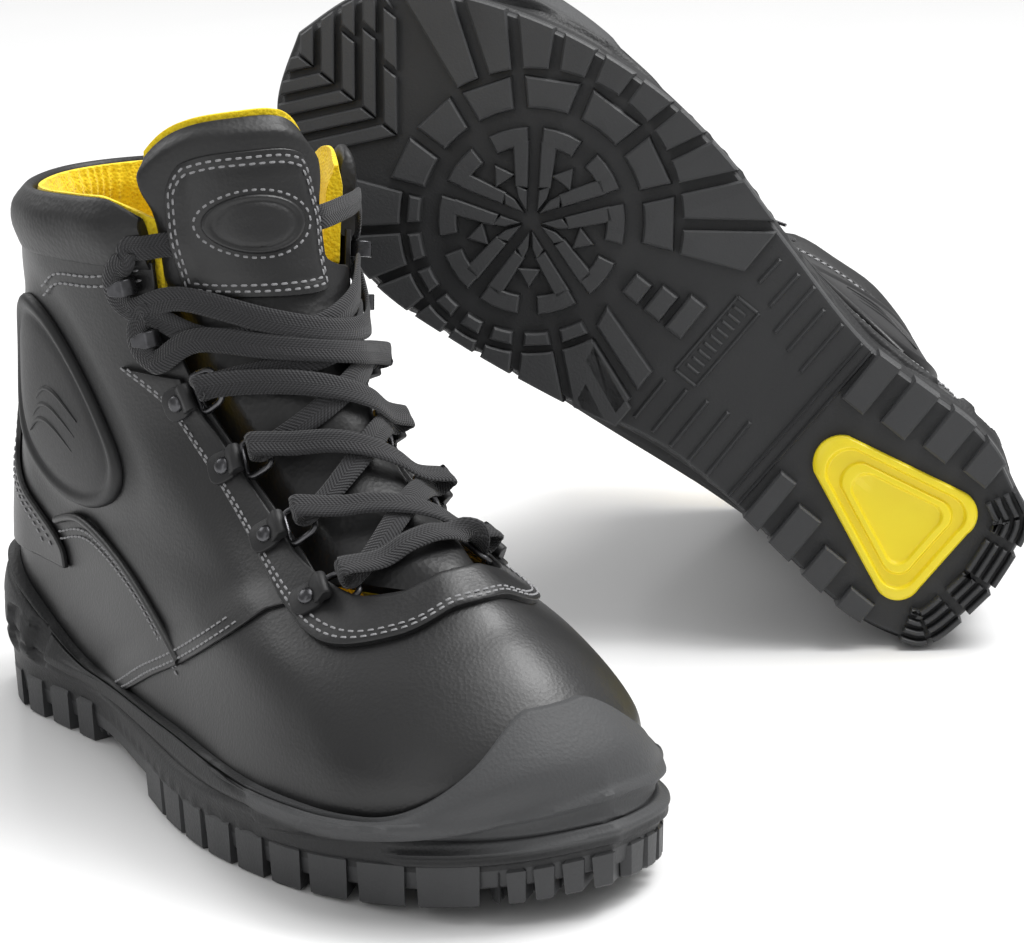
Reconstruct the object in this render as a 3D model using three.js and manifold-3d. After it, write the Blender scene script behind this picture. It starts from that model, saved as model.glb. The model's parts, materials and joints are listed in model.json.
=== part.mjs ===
// A pair of black leather work boots: the right boot stands, the left one lies tipped on its
// heel and collar behind it, showing its tread. Units are millimetres, +Z is up.
// A boot's own frame: x to its outer side, y forward from the back of the heel, z up.
import * as THREE from "three";
import { mergeVertices } from "three/addons/utils/BufferGeometryUtils.js";
import Module from "manifold-3d";

const wasm = await Module();
wasm.setup();

// Overall sizes (EU size 42).
const SOLE_LENGTH = 305;
const BALL_WIDTH = 111;
const SHAFT_HEIGHT = 184;

// Sole unit.
const LUG_DEPTH = 5;
const TREAD_PLATE = 5;
const TOE_SPRING = 9;
const SPRING_START = 215;
const SOLE_WALL = 3.6;
const MIDSOLE_TOP = 0.17;
const DISC_RADIUS = 34;
const INSERT_DEPTH = 6;

// Layers of the upper, counted from its outer face.
const LEATHER = 1.8;
const GAP = 0.95;
const OVERLAY = 1.6;
const TOECAP_STEEL = 2;
const LINING_TOE = 1.6;
const LINING_SHAFT = 4.5;
const TONGUE_PADDING = 7;
const TONGUE_LAP = 0.1;
const TONGUE_FACE = -2.8;
const FOOTBED = 4;
const FOOTBED_MARGIN = 13;
const PLATE = 1.6;
const TOECAP_REAR = 238;

// Lacing hardware.
const RING_WIRE = 1;
const RING_WIDTH = 12;
const RING_REACH = 9;
const CLIP_WIDTH = 8.4;
const CLIP_LENGTH = 11;
const BAR_CLEARANCE = 0.5;
const LACE_WIDTH = 7.5;
const LACE_THICKNESS = 1.3;
const LACE_SLACK = 1.4;
const HOOK_WIDTH = 4;
const HOOK_RISE = 6;
const HOOK_METAL = 1.2;

// How the left boot lies: turns about x, y and z in degrees, then the place of its heel.
const LEFT_TURN = [102.25, 49.47, 149.14];
const LEFT_HEEL = [241.3, -207.1];

// The last is graded from its EU 42 shape by these three factors.
const LENGTH_GRADE = SOLE_LENGTH / 305;
const WIDTH_GRADE = BALL_WIDTH / 111;
const HEIGHT_GRADE = SHAFT_HEIGHT / 184;
const CLEAR = 0.35;

// Tread outline [forward, sideways], heel to toe, outer and inner side of the foot.
const OUTER_EDGE = [[0, 0], [4, 24], [14, 32], [39, 41], [85, 40], [130, 50], [165, 59], [197, 62],
  [237, 56.6], [275, 42], [296, 24], [305, 0]];
const INNER_EDGE = [[0, 0], [4, 24], [14, 32], [39, 36], [85, 32], [120, 32], [160, 41], [197, 47],
  [232, 49], [270, 40], [295, 24], [305, 0]];

// Rings of the upper's outer face, sole edge to tongue top: back and front points as
// [forward, up], end roundings, half widths from heel to toe, and how far the ring swings outward.
const RINGS = [
  { back: [14, 22], front: [292, 29], round: [34, 46], half: [33, 35, 45, 54, 49], swing: 1 },
  { back: [7, 42], front: [296, 45], round: [36, 50], half: [36, 37, 45, 51, 46], swing: 1 },
  { back: [8, 62], front: [281, 63], round: [38, 58], half: [37, 37, 42, 46, 38], swing: 1 },
  { back: [12, 82], front: [256, 79], round: [42, 76], half: [38, 38, 38, 36, 29], swing: 1 },
  { back: [17, 102], front: [231, 93], round: [46, 80], half: [39, 40, 38, 31, 26], swing: 0.9 },
  { back: [21, 121], front: [201, 110], round: [50, 76], half: [39, 42, 40, 31, 26], swing: 0.7 },
  { back: [24, 140], front: [181, 134], round: [54, 66], half: [39, 44, 43, 35, 30], swing: 0.5 },
  { back: [27, 160], front: [168, 162], round: [58, 58], half: [40, 46, 46, 40, 36], swing: 0.3 },
  { back: [31, 180], front: [162, 186], round: [62, 54], half: [41, 47, 47, 44, 40], swing: 0.2 },
  { back: [34, 196], front: [160, 212], round: [62, 54], half: [42, 47, 47, 44, 40], swing: 0.2 },
];
const SWING = [1, 4, 6, 8, 5];

// Round ankle guard: angle and height of its centre, and its half sizes.
const ANKLE_ANGLE = 1.23;
const ANKLE_HEIGHT = 0.53;
const ANKLE_TURN = 0.42;
const ANKLE_RISE = 0.175;
const COLLAR_TURN = 2.14;

// Seam lines as [share of height, angle from the front line].
const THROAT_EDGE = [[0.3, 0.78], [0.37, 0.81], [0.46, 0.87], [0.56, 0.92], [0.64, 0.99],
  [0.75, 1.02], [0.85, 0.95], [0.95, 0.92]];
const EYESTAY_OUTSIDE = [[0.65, 1.34], [0.607, 1.17], [0.547, 1.11], [0.447, 1.06], [0.365, 1.0],
  [0.305, 0.93], [0.27, 0.8], [0.29, 0.56], [0.335, 0.28], [0.358, 0]];
const EYESTAY_INSIDE = [[0.65, 1.03], [0.63, 1.02], [0.56, 0.95], [0.46, 0.9], [0.39, 0.84],
  [0.345, 0.69], [0.353, 0.5], [0.375, 0.34], [0.392, 0.18], [0.396, 0]];

// Fittings as [share of height, angle from the front line, angle towards the throat].
const RING_PLACES = [
  { rivet: [0.325, 0.85], aim: [0.358, 0.72] },
  { rivet: [0.42, 0.95], aim: [0.453, 0.81] },
  { rivet: [0.525, 1.0], aim: [0.552, 0.84] },
  { rivet: [0.615, 1.08], aim: [0.64, 0.92] },
];
const HOOK_PLACES = [
  { rivet: [0.7, 1.12], aim: [0.71, 0.96] },
  { rivet: [0.765, 1.16], aim: [0.775, 1.0] },
];

const clamp = THREE.MathUtils.clamp;
const smooth = THREE.MathUtils.smoothstep;
const mix = THREE.MathUtils.lerp;

// Smooth value through a list of numbers at x from 0 to 1.
function through(values, x) {
  const last = values.length - 1;
  const place = clamp(x, 0, 1) * last;
  const i = Math.min(Math.floor(place), last - 1);
  const u = place - i;
  const [a, b] = [values[Math.max(i - 1, 0)], values[i]];
  const [c, d] = [values[i + 1], values[Math.min(i + 2, last)]];
  return 0.5 * (2 * b + (c - a) * u + (2 * a - 5 * b + 4 * c - d) * u * u
    + (3 * b - a - 3 * c + d) * u * u * u);
}

// Straight-line lookup in a table of [key, value] rows.
function lookup(table, key) {
  const next = table.findIndex((row) => row[0] >= key);
  if (next <= 0) return next === 0 ? table[0][1] : table[table.length - 1][1];
  const [from, to] = [table[next - 1], table[next]];
  return mix(from[1], to[1], (key - from[0]) / (to[0] - from[0]));
}

// Point on the upper's outer face. theta runs from the heel (0) round the outer side to the toe
// (pi) and back round the inner side; t runs up from the sole edge.
function facePoint(theta, t) {
  const ring = (pick) => through(RINGS.map(pick), t);
  const [back, backUp] = [ring((r) => r.back[0]), ring((r) => r.back[1])];
  const [front, frontUp] = [ring((r) => r.front[0]), ring((r) => r.front[1])];
  const share = (1 - Math.cos(theta)) / 2;
  const length = front - back;
  const halves = SWING.map((_, i) => ring((r) => r.half[i]));
  const roundOff = (distance, radius) =>
    Math.sqrt(Math.max(0, 1 - (1 - Math.min(distance, radius) / radius) ** 2));
  const half = through(halves, share) * roundOff(share * length, ring((r) => r.round[0]))
    * roundOff((1 - share) * length, ring((r) => r.round[1]));
  const x = Math.sign(Math.sin(theta) || 1) * half + through(SWING, share) * ring((r) => r.swing);
  return new THREE.Vector3(x * WIDTH_GRADE, (back + length * share) * LENGTH_GRADE,
    mix(backUp, frontUp, share) * HEIGHT_GRADE);
}

function faceNormal(theta, t) {
  const step = 0.02;
  const along = facePoint(theta + step, t).sub(facePoint(theta - step, t));
  const up = facePoint(theta, Math.min(t + step, 1)).sub(facePoint(theta, Math.max(t - step, 0)));
  return along.cross(up).normalize();
}

// Angle at the share s of half a turn, 0 at the heel and 1 at the toe, with the steps drawn
// together at both rounded ends.
const turnAt = (s) => Math.PI * s - 0.3 * Math.sin(2 * Math.PI * s);

function shareOfTurn(theta) {
  let [low, high] = [0, 1];
  for (let i = 0; i < 30; i++) {
    const middle = (low + high) / 2;
    if (turnAt(middle) < theta) low = middle;
    else high = middle;
  }
  return low;
}

function liftedPoint(theta, t, lift) {
  return facePoint(theta, t).addScaledVector(faceNormal(theta, t), lift);
}

// Outline of the sole at s from heel (0) to toe (1), on one side, moved out by spread.
function soleEdge(s, side, spread) {
  const edge = side > 0 ? OUTER_EDGE : INNER_EDGE;
  const at = (x) => new THREE.Vector2(through(edge.map((p) => p[1]), x) * side * WIDTH_GRADE,
    through(edge.map((p) => p[0]), x) * LENGTH_GRADE);
  const tangent = at(Math.min(s + 0.01, 1)).sub(at(Math.max(s - 0.01, 0))).normalize();
  if (s === 0) tangent.set(side, 0);
  if (s === 1) tangent.set(-side, 0);
  return at(s).add(new THREE.Vector2(tangent.y * side, -tangent.x * side).multiplyScalar(spread));
}

function springHeight(y) {
  return TOE_SPRING * (Math.max(0, y / LENGTH_GRADE - SPRING_START) / 90) ** 2;
}

// Closed solid from position triples and triangle indices.
function solid(points, triangles) {
  const geometry = new THREE.BufferGeometry();
  const places = points.flatMap((p) => p.toArray());
  geometry.setAttribute("position", new THREE.Float32BufferAttribute(places, 3));
  geometry.setIndex(triangles);
  return geometry;
}

// Curved shell over a piece of the upper's face. place(u, v) gives [theta, t] for u and v from
// 0 to 1; outer and inner give the lifts of its two faces.
function shell(place, columns, rows, outer, inner) {
  const points = [];
  for (const lift of [outer, inner]) {
    for (let j = 0; j <= rows; j++) {
      for (let i = 0; i <= columns; i++) {
        const [theta, t] = place(i / columns, j / rows);
        const height = typeof lift === "function" ? lift(theta, t, i / columns, j / rows) : lift;
        points.push(liftedPoint(theta, t, height));
      }
    }
  }
  const wide = columns + 1;
  const layer = wide * (rows + 1);
  const triangles = [];
  const quad = (a, b, c, d) => triangles.push(a, b, c, a, c, d);
  for (let j = 0; j < rows; j++) {
    for (let i = 0; i < columns; i++) {
      const a = j * wide + i;
      quad(a, a + 1, a + wide + 1, a + wide);
      quad(layer + a, layer + a + wide, layer + a + wide + 1, layer + a + 1);
    }
  }
  for (let i = 0; i < columns; i++) {
    const top = rows * wide + i;
    quad(i + 1, i, layer + i, layer + i + 1);
    quad(top, top + 1, layer + top + 1, layer + top);
  }
  for (let j = 0; j < rows; j++) {
    const [left, right] = [j * wide, j * wide + columns];
    quad(left, left + wide, layer + left + wide, layer + left);
    quad(right + wide, right, layer + right, layer + right + wide);
  }
  return solid(points, triangles);
}

// Closed solid through horizontal loops of points, listed from the bottom cap to the top cap.
// Each loop runs heel, outer side, toe, inner side.
function stack(loops) {
  const count = loops[0].length;
  const triangles = [];
  for (let k = 0; k + 1 < loops.length; k++) {
    for (let i = 0; i < count; i++) {
      const [a, b] = [k * count + i, k * count + (i + 1) % count];
      triangles.push(a, b, b + count, a, b + count, a + count);
    }
  }
  const cap = (start, flip) => {
    for (let i = 0; i < count / 2; i++) {
      const [a, b] = [start + i, start + i + 1];
      const [c, d] = [start + (count - i) % count, start + (count - i - 1) % count];
      const faces = [[a, b, d], [a, d, c]].filter((f) => new Set(f).size === 3);
      faces.forEach((f) => triangles.push(...(flip ? [f[0], f[2], f[1]] : f)));
    }
  };
  cap(0, true);
  cap((loops.length - 1) * count, false);
  return solid(loops.flat(), triangles);
}

const SOLE_STEPS = 18;

function soleLoop(spread, height) {
  const loop = [];
  for (let i = 0; i < 2 * SOLE_STEPS; i++) {
    const side = i <= SOLE_STEPS ? 1 : -1;
    const s = side > 0 ? i / SOLE_STEPS : 2 - i / SOLE_STEPS;
    const edge = soleEdge(s, side, spread);
    loop.push(new THREE.Vector3(edge.x, edge.y, height + springHeight(edge.y)));
  }
  return loop;
}

// Loop round the upper's face at the height t, moved level outward by spread and down by drop.
function faceLoop(t, spread, drop) {
  return Array.from({ length: 2 * SOLE_STEPS }, (_, i) => {
    const theta = i <= SOLE_STEPS ? turnAt(i / SOLE_STEPS) : -turnAt(2 - i / SOLE_STEPS);
    const at = typeof t === "function" ? t(theta) : t;
    const level = faceNormal(theta, at).setZ(0).normalize();
    const point = facePoint(theta, at).addScaledVector(level, spread);
    point.z -= drop;
    return point;
  });
}

// Angle at the place across, from -1 to 1, of a span reaching half to each side of the toe.
function toeTurn(across, half) {
  const start = shareOfTurn(Math.PI - half);
  const turn = Math.PI - turnAt(mix(1, start, Math.abs(across)));
  return Math.PI + Math.sign(across) * turn;
}

function toManifold(geometry) {
  const bare = geometry.clone();
  bare.deleteAttribute("normal");
  bare.deleteAttribute("uv");
  const merged = mergeVertices(bare, 1e-4);
  return new wasm.Manifold(new wasm.Mesh({
    numProp: 3,
    vertProperties: new Float32Array(merged.attributes.position.array),
    triVerts: new Uint32Array(merged.index.array),
  }));
}

function fromManifold(manifold) {
  const mesh = manifold.getMesh();
  const geometry = new THREE.BufferGeometry();
  geometry.setAttribute("position", new THREE.BufferAttribute(mesh.vertProperties, 3));
  geometry.setIndex(new THREE.BufferAttribute(mesh.triVerts, 1));
  return geometry;
}

// Joins the parts into one body and takes the cutters away from it.
function sculpt(parts, cutters) {
  const body = parts.map(toManifold).reduce((a, b) => a.add(b));
  return fromManifold(cutters.map(toManifold).reduce((a, b) => a.subtract(b), body));
}

// Upright prism over an outline of [sideways, forward] points.
function prism(outline, bottom, top) {
  const shape = new THREE.Shape(outline.map(([x, y]) => new THREE.Vector2(x, y)));
  const geometry = new THREE.ExtrudeGeometry(shape, { depth: top - bottom, bevelEnabled: false });
  return geometry.translate(0, 0, bottom);
}

// Angles at the height t: half angle of the throat, and of the seam between vamp and quarter.
const throatAngle = (t) => lookup(THROAT_EDGE, t);
const seamAngle = (t) => 1.71 - 3.03 * (t - 0.087);
const quarterAngle = (t) => mix(seamAngle(t) + 0.015, throatAngle(t), smooth(t, 0.3, 0.36));
const counterAngle = (t) => 1.02 - 0.4 * smooth(t, 0.22, 0.4);
const collarTop = (theta) => 0.885 - 0.035 * smooth(Math.abs(theta), 1.9, 2.25);
const midsoleTop = (theta) => {
  const toe = Math.abs(Math.abs(theta) - Math.PI);
  const heel = Math.PI - toe;
  return 0.02 + (MIDSOLE_TOP - 0.02) * (1 - smooth(heel, 0.45, 1.1))
    + MIDSOLE_TOP * (1 - smooth(toe, 0.12, 0.66));
};

// Radial lug outlines of the tread, cut by the channels between them.
function lugBlock(from, to, side, inset, depth) {
  const steps = 3;
  const rim = [];
  const root = [];
  for (let i = 0; i <= steps; i++) {
    const s = mix(from, to, i / steps);
    rim.push(soleEdge(s, side, -1.5).toArray());
    root.unshift(soleEdge(s, side, -inset).toArray());
  }
  return prism(side > 0 ? [...rim, ...root] : [...rim, ...root].reverse(), 0, depth);
}

function tread() {
  const plate = stack([soleLoop(-1.5, LUG_DEPTH), soleLoop(-0.5, LUG_DEPTH + TREAD_PLATE)]);
  const parts = [plate];
  const overlap = LUG_DEPTH + 1.5;
  const heelLugs = [[0.02, 0.17], [0.2, 0.27], [0.3, 0.37]];
  const ballLugs = [[0.5, 0.56], [0.58, 0.64], [0.66, 0.72]];
  for (const side of [1, -1]) {
    for (const [from, to] of heelLugs) parts.push(lugBlock(from, to, side, 20, overlap));
    for (const [from, to] of ballLugs) parts.push(lugBlock(from, to, side, 13, overlap));
  }
  const disc = new THREE.CylinderGeometry(DISC_RADIUS, DISC_RADIUS, overlap, 20);
  disc.rotateX(Math.PI / 2).translate(6 * WIDTH_GRADE, 197 * LENGTH_GRADE, overlap / 2);
  parts.push(disc);
  for (let bar = 0; bar < 3; bar++) {
    const y = (98 + 11 * bar) * LENGTH_GRADE;
    parts.push(new THREE.BoxGeometry(52, 4, overlap).translate(4, y, overlap / 2 + 1));
  }
  const recess = prism(insertOutline(CLEAR), -1, INSERT_DEPTH + CLEAR);
  return sculpt(parts, [recess]);
}

// Rounded triangle of the heel insert, grown by spread.
function insertOutline(spread) {
  const corners = [[2, 72], [-21, 24], [17, 20]].map(([x, y]) =>
    new THREE.Vector2(x * WIDTH_GRADE, y * LENGTH_GRADE));
  const centre = corners.reduce((sum, c) => sum.add(c), new THREE.Vector2()).divideScalar(3);
  const radius = 7 + spread;
  const outline = [];
  corners.forEach((corner) => {
    const middle = corner.clone().sub(centre).angle();
    for (let i = -2; i <= 2; i++) {
      const angle = middle + i * 0.5;
      outline.push([corner.x + radius * Math.cos(angle), corner.y + radius * Math.sin(angle)]);
    }
  });
  return outline;
}

function midsole() {
  const base = LUG_DEPTH + TREAD_PLATE + CLEAR;
  const wallTop = (theta) => midsoleTop(theta);
  const share = (part) => (theta) => wallTop(theta) * part;
  return stack([
    soleLoop(-1, base),
    soleLoop(0.5, base + 7),
    faceLoop(share(0.1), SOLE_WALL, 0),
    faceLoop(share(0.6), SOLE_WALL, 0),
    faceLoop(share(1), SOLE_WALL * 0.6, 0),
    faceLoop(share(1), GAP + 0.5, 0),
    faceLoop(share(0.75), GAP + 0.5, 0),
    faceLoop(share(0.5), GAP + 0.5, 0),
    faceLoop(share(0.25), GAP + 0.5, 0),
    faceLoop(0, GAP + 0.5, 0),
    faceLoop(0, -1, 3.4),
  ]);
}

const plateUnderfoot = () => stack([faceLoop(0, -3, 2.9), faceLoop(0, -3, 2.9 - PLATE)]);

const insole = () => stack([
  faceLoop(0, -FOOTBED_MARGIN, 0.9),
  faceLoop(0.02, -FOOTBED_MARGIN, 0.9 - FOOTBED),
]);

function toecap() {
  const place = (u, v) => {
    const t = 0.02 + 0.34 * v;
    const back = through(RINGS.map((r) => r.back[0]), t);
    const front = through(RINGS.map((r) => r.front[0]), t);
    const half = Math.PI - Math.acos(clamp(1 - 2 * (TOECAP_REAR - back) / (front - back), -0.995, 1));
    return [toeTurn(2 * u - 1, half), t];
  };
  const outer = -LEATHER - GAP - 0.5;
  return shell(place, 12, 6, outer, outer - TOECAP_STEEL);
}

function vamp() {
  const place = (u, v) => {
    const across = 2 * u - 1;
    const top = 0.405 - 0.12 * across * across;
    const t = v * top;
    return [toeTurn(across, seamAngle(t) - 0.015), t];
  };
  return shell(place, 22, 8, 0, -LEATHER);
}

// One side of the shaft, from the back seam to the throat.
function quarter(side) {
  const place = (u, v) => {
    const t = 0.79 * v;
    const share = mix(0.008, shareOfTurn(Math.PI - quarterAngle(t)), side > 0 ? u : 1 - u);
    return [side * turnAt(share), t];
  };
  return shell(place, 11, 10, 0, -LEATHER);
}

function heelCounter() {
  const place = (u, v) => {
    const t = 0.205 + 0.275 * v;
    return [Math.sign(2 * u - 1) * turnAt(Math.abs(2 * u - 1) * shareOfTurn(counterAngle(t))), t];
  };
  return shell(place, 16, 6, GAP + 0.5 + OVERLAY, GAP + 0.5);
}

// Round ankle guard, a disc laid on the quarter.
function anklePad(side) {
  const place = (u, v) => {
    const [a, b] = [2 * u - 1, 2 * v - 1];
    const x = a * Math.sqrt(1 - b * b / 2);
    const y = b * Math.sqrt(1 - a * a / 2);
    const turn = side > 0 ? 1 : -1;
    return [turn * ANKLE_ANGLE + ANKLE_TURN * x, ANKLE_HEIGHT + ANKLE_RISE * y];
  };
  return shell(place, 5, 5, GAP + OVERLAY, GAP);
}

function collar() {
  const place = (u, v) => {
    const theta = Math.sign(2 * u - 1) * turnAt(Math.abs(2 * u - 1) * shareOfTurn(COLLAR_TURN));
    return [theta, mix(0.797, collarTop(theta), v)];
  };
  return shell(place, 18, 1, (theta, t, u, v) => 1.2 - 2 * v * v, -LEATHER);
}

function lining() {
  const place = (u, v) => {
    const t = mix(0.018, 0.87, v);
    const open = mix(0.02, throatAngle(t) - 0.02, smooth(t, 0.33, 0.4));
    const across = 2 * u - 1;
    return [Math.sign(across) * turnAt(Math.abs(across) * shareOfTurn(Math.PI - open)), t];
  };
  const outer = (theta, t) => {
    const toe = smooth(facePoint(theta, t).y / LENGTH_GRADE, 215, 232) * (1 - smooth(t, 0.36, 0.4));
    return -LEATHER - GAP - 1 - (TOECAP_STEEL + GAP) * toe;
  };
  const inner = (theta, t) => outer(theta, t) - mix(LINING_TOE, LINING_SHAFT, smooth(t, 0.35, 0.6));
  return shell(place, 22, 11, outer, inner);
}

// Padded tongue: it fills the throat and runs on under the lining's edges.
function tongue() {
  const place = (u, v) => {
    const t = mix(0.46, 0.985, v);
    return [Math.PI + (2 * u - 1) * (throatAngle(t) + TONGUE_LAP), t];
  };
  const under = -LEATHER - GAP - LINING_SHAFT - 1.7;
  const outer = (theta, t, u) => {
    const edge = throatAngle(t);
    const beyond = smooth(Math.abs(2 * u - 1) * (edge + TONGUE_LAP), edge - 0.32, edge - 0.12);
    return mix(TONGUE_FACE, under, beyond * (1 - smooth(t, 0.905, 0.94)));
  };
  return shell(place, 10, 7, outer, under - TONGUE_PADDING + 2);
}

function tonguePatch() {
  const place = (u, v) => {
    const t = mix(0.77, 0.93, v);
    return [Math.PI + (2 * u - 1) * 0.5, t];
  };
  return shell(place, 6, 3, TONGUE_FACE + GAP + OVERLAY, TONGUE_FACE + GAP);
}

// Frame of a fitting: its rivet, the outward normal, the way to the throat, and along the edge.
function fittingFrame(place, side) {
  const angle = (a) => (side > 0 ? Math.PI - a : Math.PI + a);
  const [t, around] = place.rivet;
  const origin = facePoint(angle(around), t);
  const normal = faceNormal(angle(around), t);
  const inward = facePoint(angle(place.aim[1]), place.aim[0]).sub(origin);
  inward.addScaledVector(normal, -inward.dot(normal)).normalize();
  const along = new THREE.Vector3().crossVectors(normal, inward);
  return { origin, normal, inward, along };
}

const EYESTAY_TOP = GAP + OVERLAY;
const RING_LIFT = EYESTAY_TOP + BAR_CLEARANCE + RING_WIRE + 0.8;
const BAR_PLACE = 5.5;

// Moves a geometry built with x inward, y along the edge and z outward onto a fitting.
function onFitting(geometry, frame, lift) {
  const matrix = new THREE.Matrix4().makeBasis(frame.inward, frame.along, frame.normal);
  matrix.setPosition(frame.origin.clone().addScaledVector(frame.normal, lift));
  return geometry.applyMatrix4(matrix);
}

// Riveted leather clip that holds a ring's straight bar in a tunnel.
function clipBody() {
  const height = RING_LIFT - GAP + RING_WIRE + BAR_CLEARANCE + 0.8;
  const box = new THREE.BoxGeometry(CLIP_LENGTH, CLIP_WIDTH, height);
  box.translate(BAR_PLACE + 3 - CLIP_LENGTH / 2, 0, GAP + 0.6 + height / 2);
  return box;
}

function clipTunnel() {
  const bore = RING_WIRE + BAR_CLEARANCE;
  const across = bore / Math.cos(Math.PI / 6);
  const tunnel = new THREE.CylinderGeometry(across, across, 3 * CLIP_WIDTH, 6);
  return tunnel.translate(BAR_PLACE, 0, RING_LIFT);
}

function eyestay(frames) {
  const place = (u, v) => {
    const s = Math.abs(2 * u - 1);
    const pick = (table, axis) => through(table.map((row) => row[axis]), 1 - s);
    const t = mix(pick(EYESTAY_OUTSIDE, 0), pick(EYESTAY_INSIDE, 0), v);
    const angle = mix(pick(EYESTAY_OUTSIDE, 1), pick(EYESTAY_INSIDE, 1), v);
    return [Math.PI + Math.sign(2 * u - 1) * angle, t];
  };
  const band = shell(place, 30, 1, EYESTAY_TOP, GAP);
  const clips = frames.map((frame) => onFitting(clipBody(), frame, 0));
  const tunnels = frames.map((frame) => onFitting(clipTunnel(), frame, 0));
  return sculpt([band, ...clips], tunnels);
}

// Closed wire loop, a rounded rectangle whose straight inner bar lies in the clip.
function ringLoop() {
  const path = new THREE.CurvePath();
  const [halfWidth, reach, corner] = [RING_WIDTH / 2, RING_REACH, 2.4];
  const corners = [[0, -halfWidth], [reach, -halfWidth + 1], [reach, halfWidth - 1], [0, halfWidth]];
  const points = corners.map(([x, y]) => new THREE.Vector3(BAR_PLACE + x, y, RING_LIFT));
  const trimmed = points.map((point, i) => {
    const [before, after] = [points[(i + 3) % 4], points[(i + 1) % 4]];
    const enter = point.clone().add(before.clone().sub(point).setLength(corner));
    const leave = point.clone().add(after.clone().sub(point).setLength(corner));
    return [enter, point, leave];
  });
  trimmed.forEach(([enter, point, leave], i) => {
    path.add(new THREE.QuadraticBezierCurve3(enter, point, leave));
    path.add(new THREE.LineCurve3(leave, trimmed[(i + 1) % 4][0]));
  });
  return closedWire(path, 16, RING_WIRE, 5);
}

// Tube along a closed curve in a plane of constant z.
function closedWire(path, steps, radius, sides) {
  const points = [];
  for (let i = 0; i < steps; i++) {
    const centre = path.getPointAt(i / steps);
    const tangent = path.getTangentAt(i / steps);
    const sideways = new THREE.Vector3(tangent.y, -tangent.x, 0);
    for (let j = 0; j < sides; j++) {
      const angle = 2 * Math.PI * j / sides;
      const point = centre.clone().addScaledVector(sideways, radius * Math.cos(angle));
      point.z += radius * Math.sin(angle);
      points.push(point);
    }
  }
  const triangles = [];
  for (let i = 0; i < steps; i++) {
    for (let j = 0; j < sides; j++) {
      const [a, b] = [i * sides + j, i * sides + (j + 1) % sides];
      const [c, d] = [(a + sides) % points.length, (b + sides) % points.length];
      triangles.push(a, c, b, b, c, d);
    }
  }
  return solid(points, triangles);
}

// Speed hook: a bent strip, foot plate, riser and turned-back lip.
function hookStrip() {
  const [foot, lip, metal] = [4.5, 6, HOOK_METAL];
  const shape = new THREE.Shape();
  shape.moveTo(-foot, 0);
  shape.lineTo(foot, 0);
  shape.quadraticCurveTo(foot + 2, HOOK_RISE / 2, foot, HOOK_RISE + metal);
  shape.lineTo(foot - lip, HOOK_RISE + metal);
  shape.lineTo(foot - lip, HOOK_RISE);
  shape.lineTo(foot - metal, HOOK_RISE);
  shape.quadraticCurveTo(foot + 2 - 2 * metal, HOOK_RISE / 2, foot - metal, metal);
  shape.lineTo(-foot, metal);
  const settings = { depth: HOOK_WIDTH, bevelEnabled: false, curveSegments: 4 };
  const strip = new THREE.ExtrudeGeometry(shape, settings);
  return strip.rotateX(Math.PI / 2).translate(0, HOOK_WIDTH / 2, 0);
}

// Flat ribbon through stations { point, normal }.
function ribbon(stations) {
  const centre = new THREE.CatmullRomCurve3(stations.map((s) => s.point), false, "centripetal");
  const steps = stations.length - 1;
  const points = [];
  for (let i = 0; i <= steps; i++) {
    const point = centre.getPoint(i / steps);
    const tangent = centre.getTangent(i / steps);
    const normal = stations[i].normal;
    const across = new THREE.Vector3().crossVectors(tangent, normal).setLength(LACE_WIDTH / 2);
    const through = new THREE.Vector3().crossVectors(across, tangent).setLength(LACE_THICKNESS / 2);
    for (const [a, b] of [[1, 1], [-1, 1], [-1, -1], [1, -1]]) {
      points.push(point.clone().addScaledVector(across, a).addScaledVector(through, b));
    }
  }
  const triangles = [0, 1, 2, 0, 2, 3];
  for (let i = 0; i < steps; i++) {
    for (let j = 0; j < 4; j++) {
      const [a, b] = [4 * i + j, 4 * i + (j + 1) % 4];
      triangles.push(a, a + 4, b + 4, a, b + 4, b);
    }
  }
  const end = 4 * steps;
  triangles.push(end, end + 2, end + 1, end, end + 3, end + 2);
  return solid(points, triangles);
}

// Lifts of the lace over the tongue, and its tucked end as [angle from the front line, height].
const LACE_OVER = 2;
const LACE_UNDER = 0;
const TUCK_LIFT = 1.6;
const TUCKED_END = [[0.6, 0.875], [0.72, 0.85], [0.86, 0.815]];
const HOOK_LIFT = GAP;
const HOOK_STEM = 3.9;
const HOOK_LACE = HOOK_LIFT + HOOK_METAL + CLEAR + LACE_THICKNESS / 2;

const sideAngle = (side, angle) => (side > 0 ? Math.PI - angle : Math.PI + angle);

function faceStation(side, angle, t, lift, sign) {
  const theta = sideAngle(side, angle);
  return { point: liftedPoint(theta, t, lift), normal: faceNormal(theta, t).multiplyScalar(sign) };
}

// Half turn of the lace round a ring's free bar, from above it to below.
function ringTurn(frame) {
  const bar = frame.origin.clone().addScaledVector(frame.inward, BAR_PLACE + RING_REACH)
    .addScaledVector(frame.normal, RING_LIFT);
  const radius = RING_WIRE + LACE_SLACK + LACE_THICKNESS / 2;
  return [0, 0.25, 0.5, 0.75, 1].map((share) => {
    const angle = share * Math.PI;
    const normal = frame.normal.clone().multiplyScalar(Math.cos(angle))
      .addScaledVector(frame.inward, -Math.sin(angle));
    return { point: bar.clone().addScaledVector(normal, radius), normal };
  });
}

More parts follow.
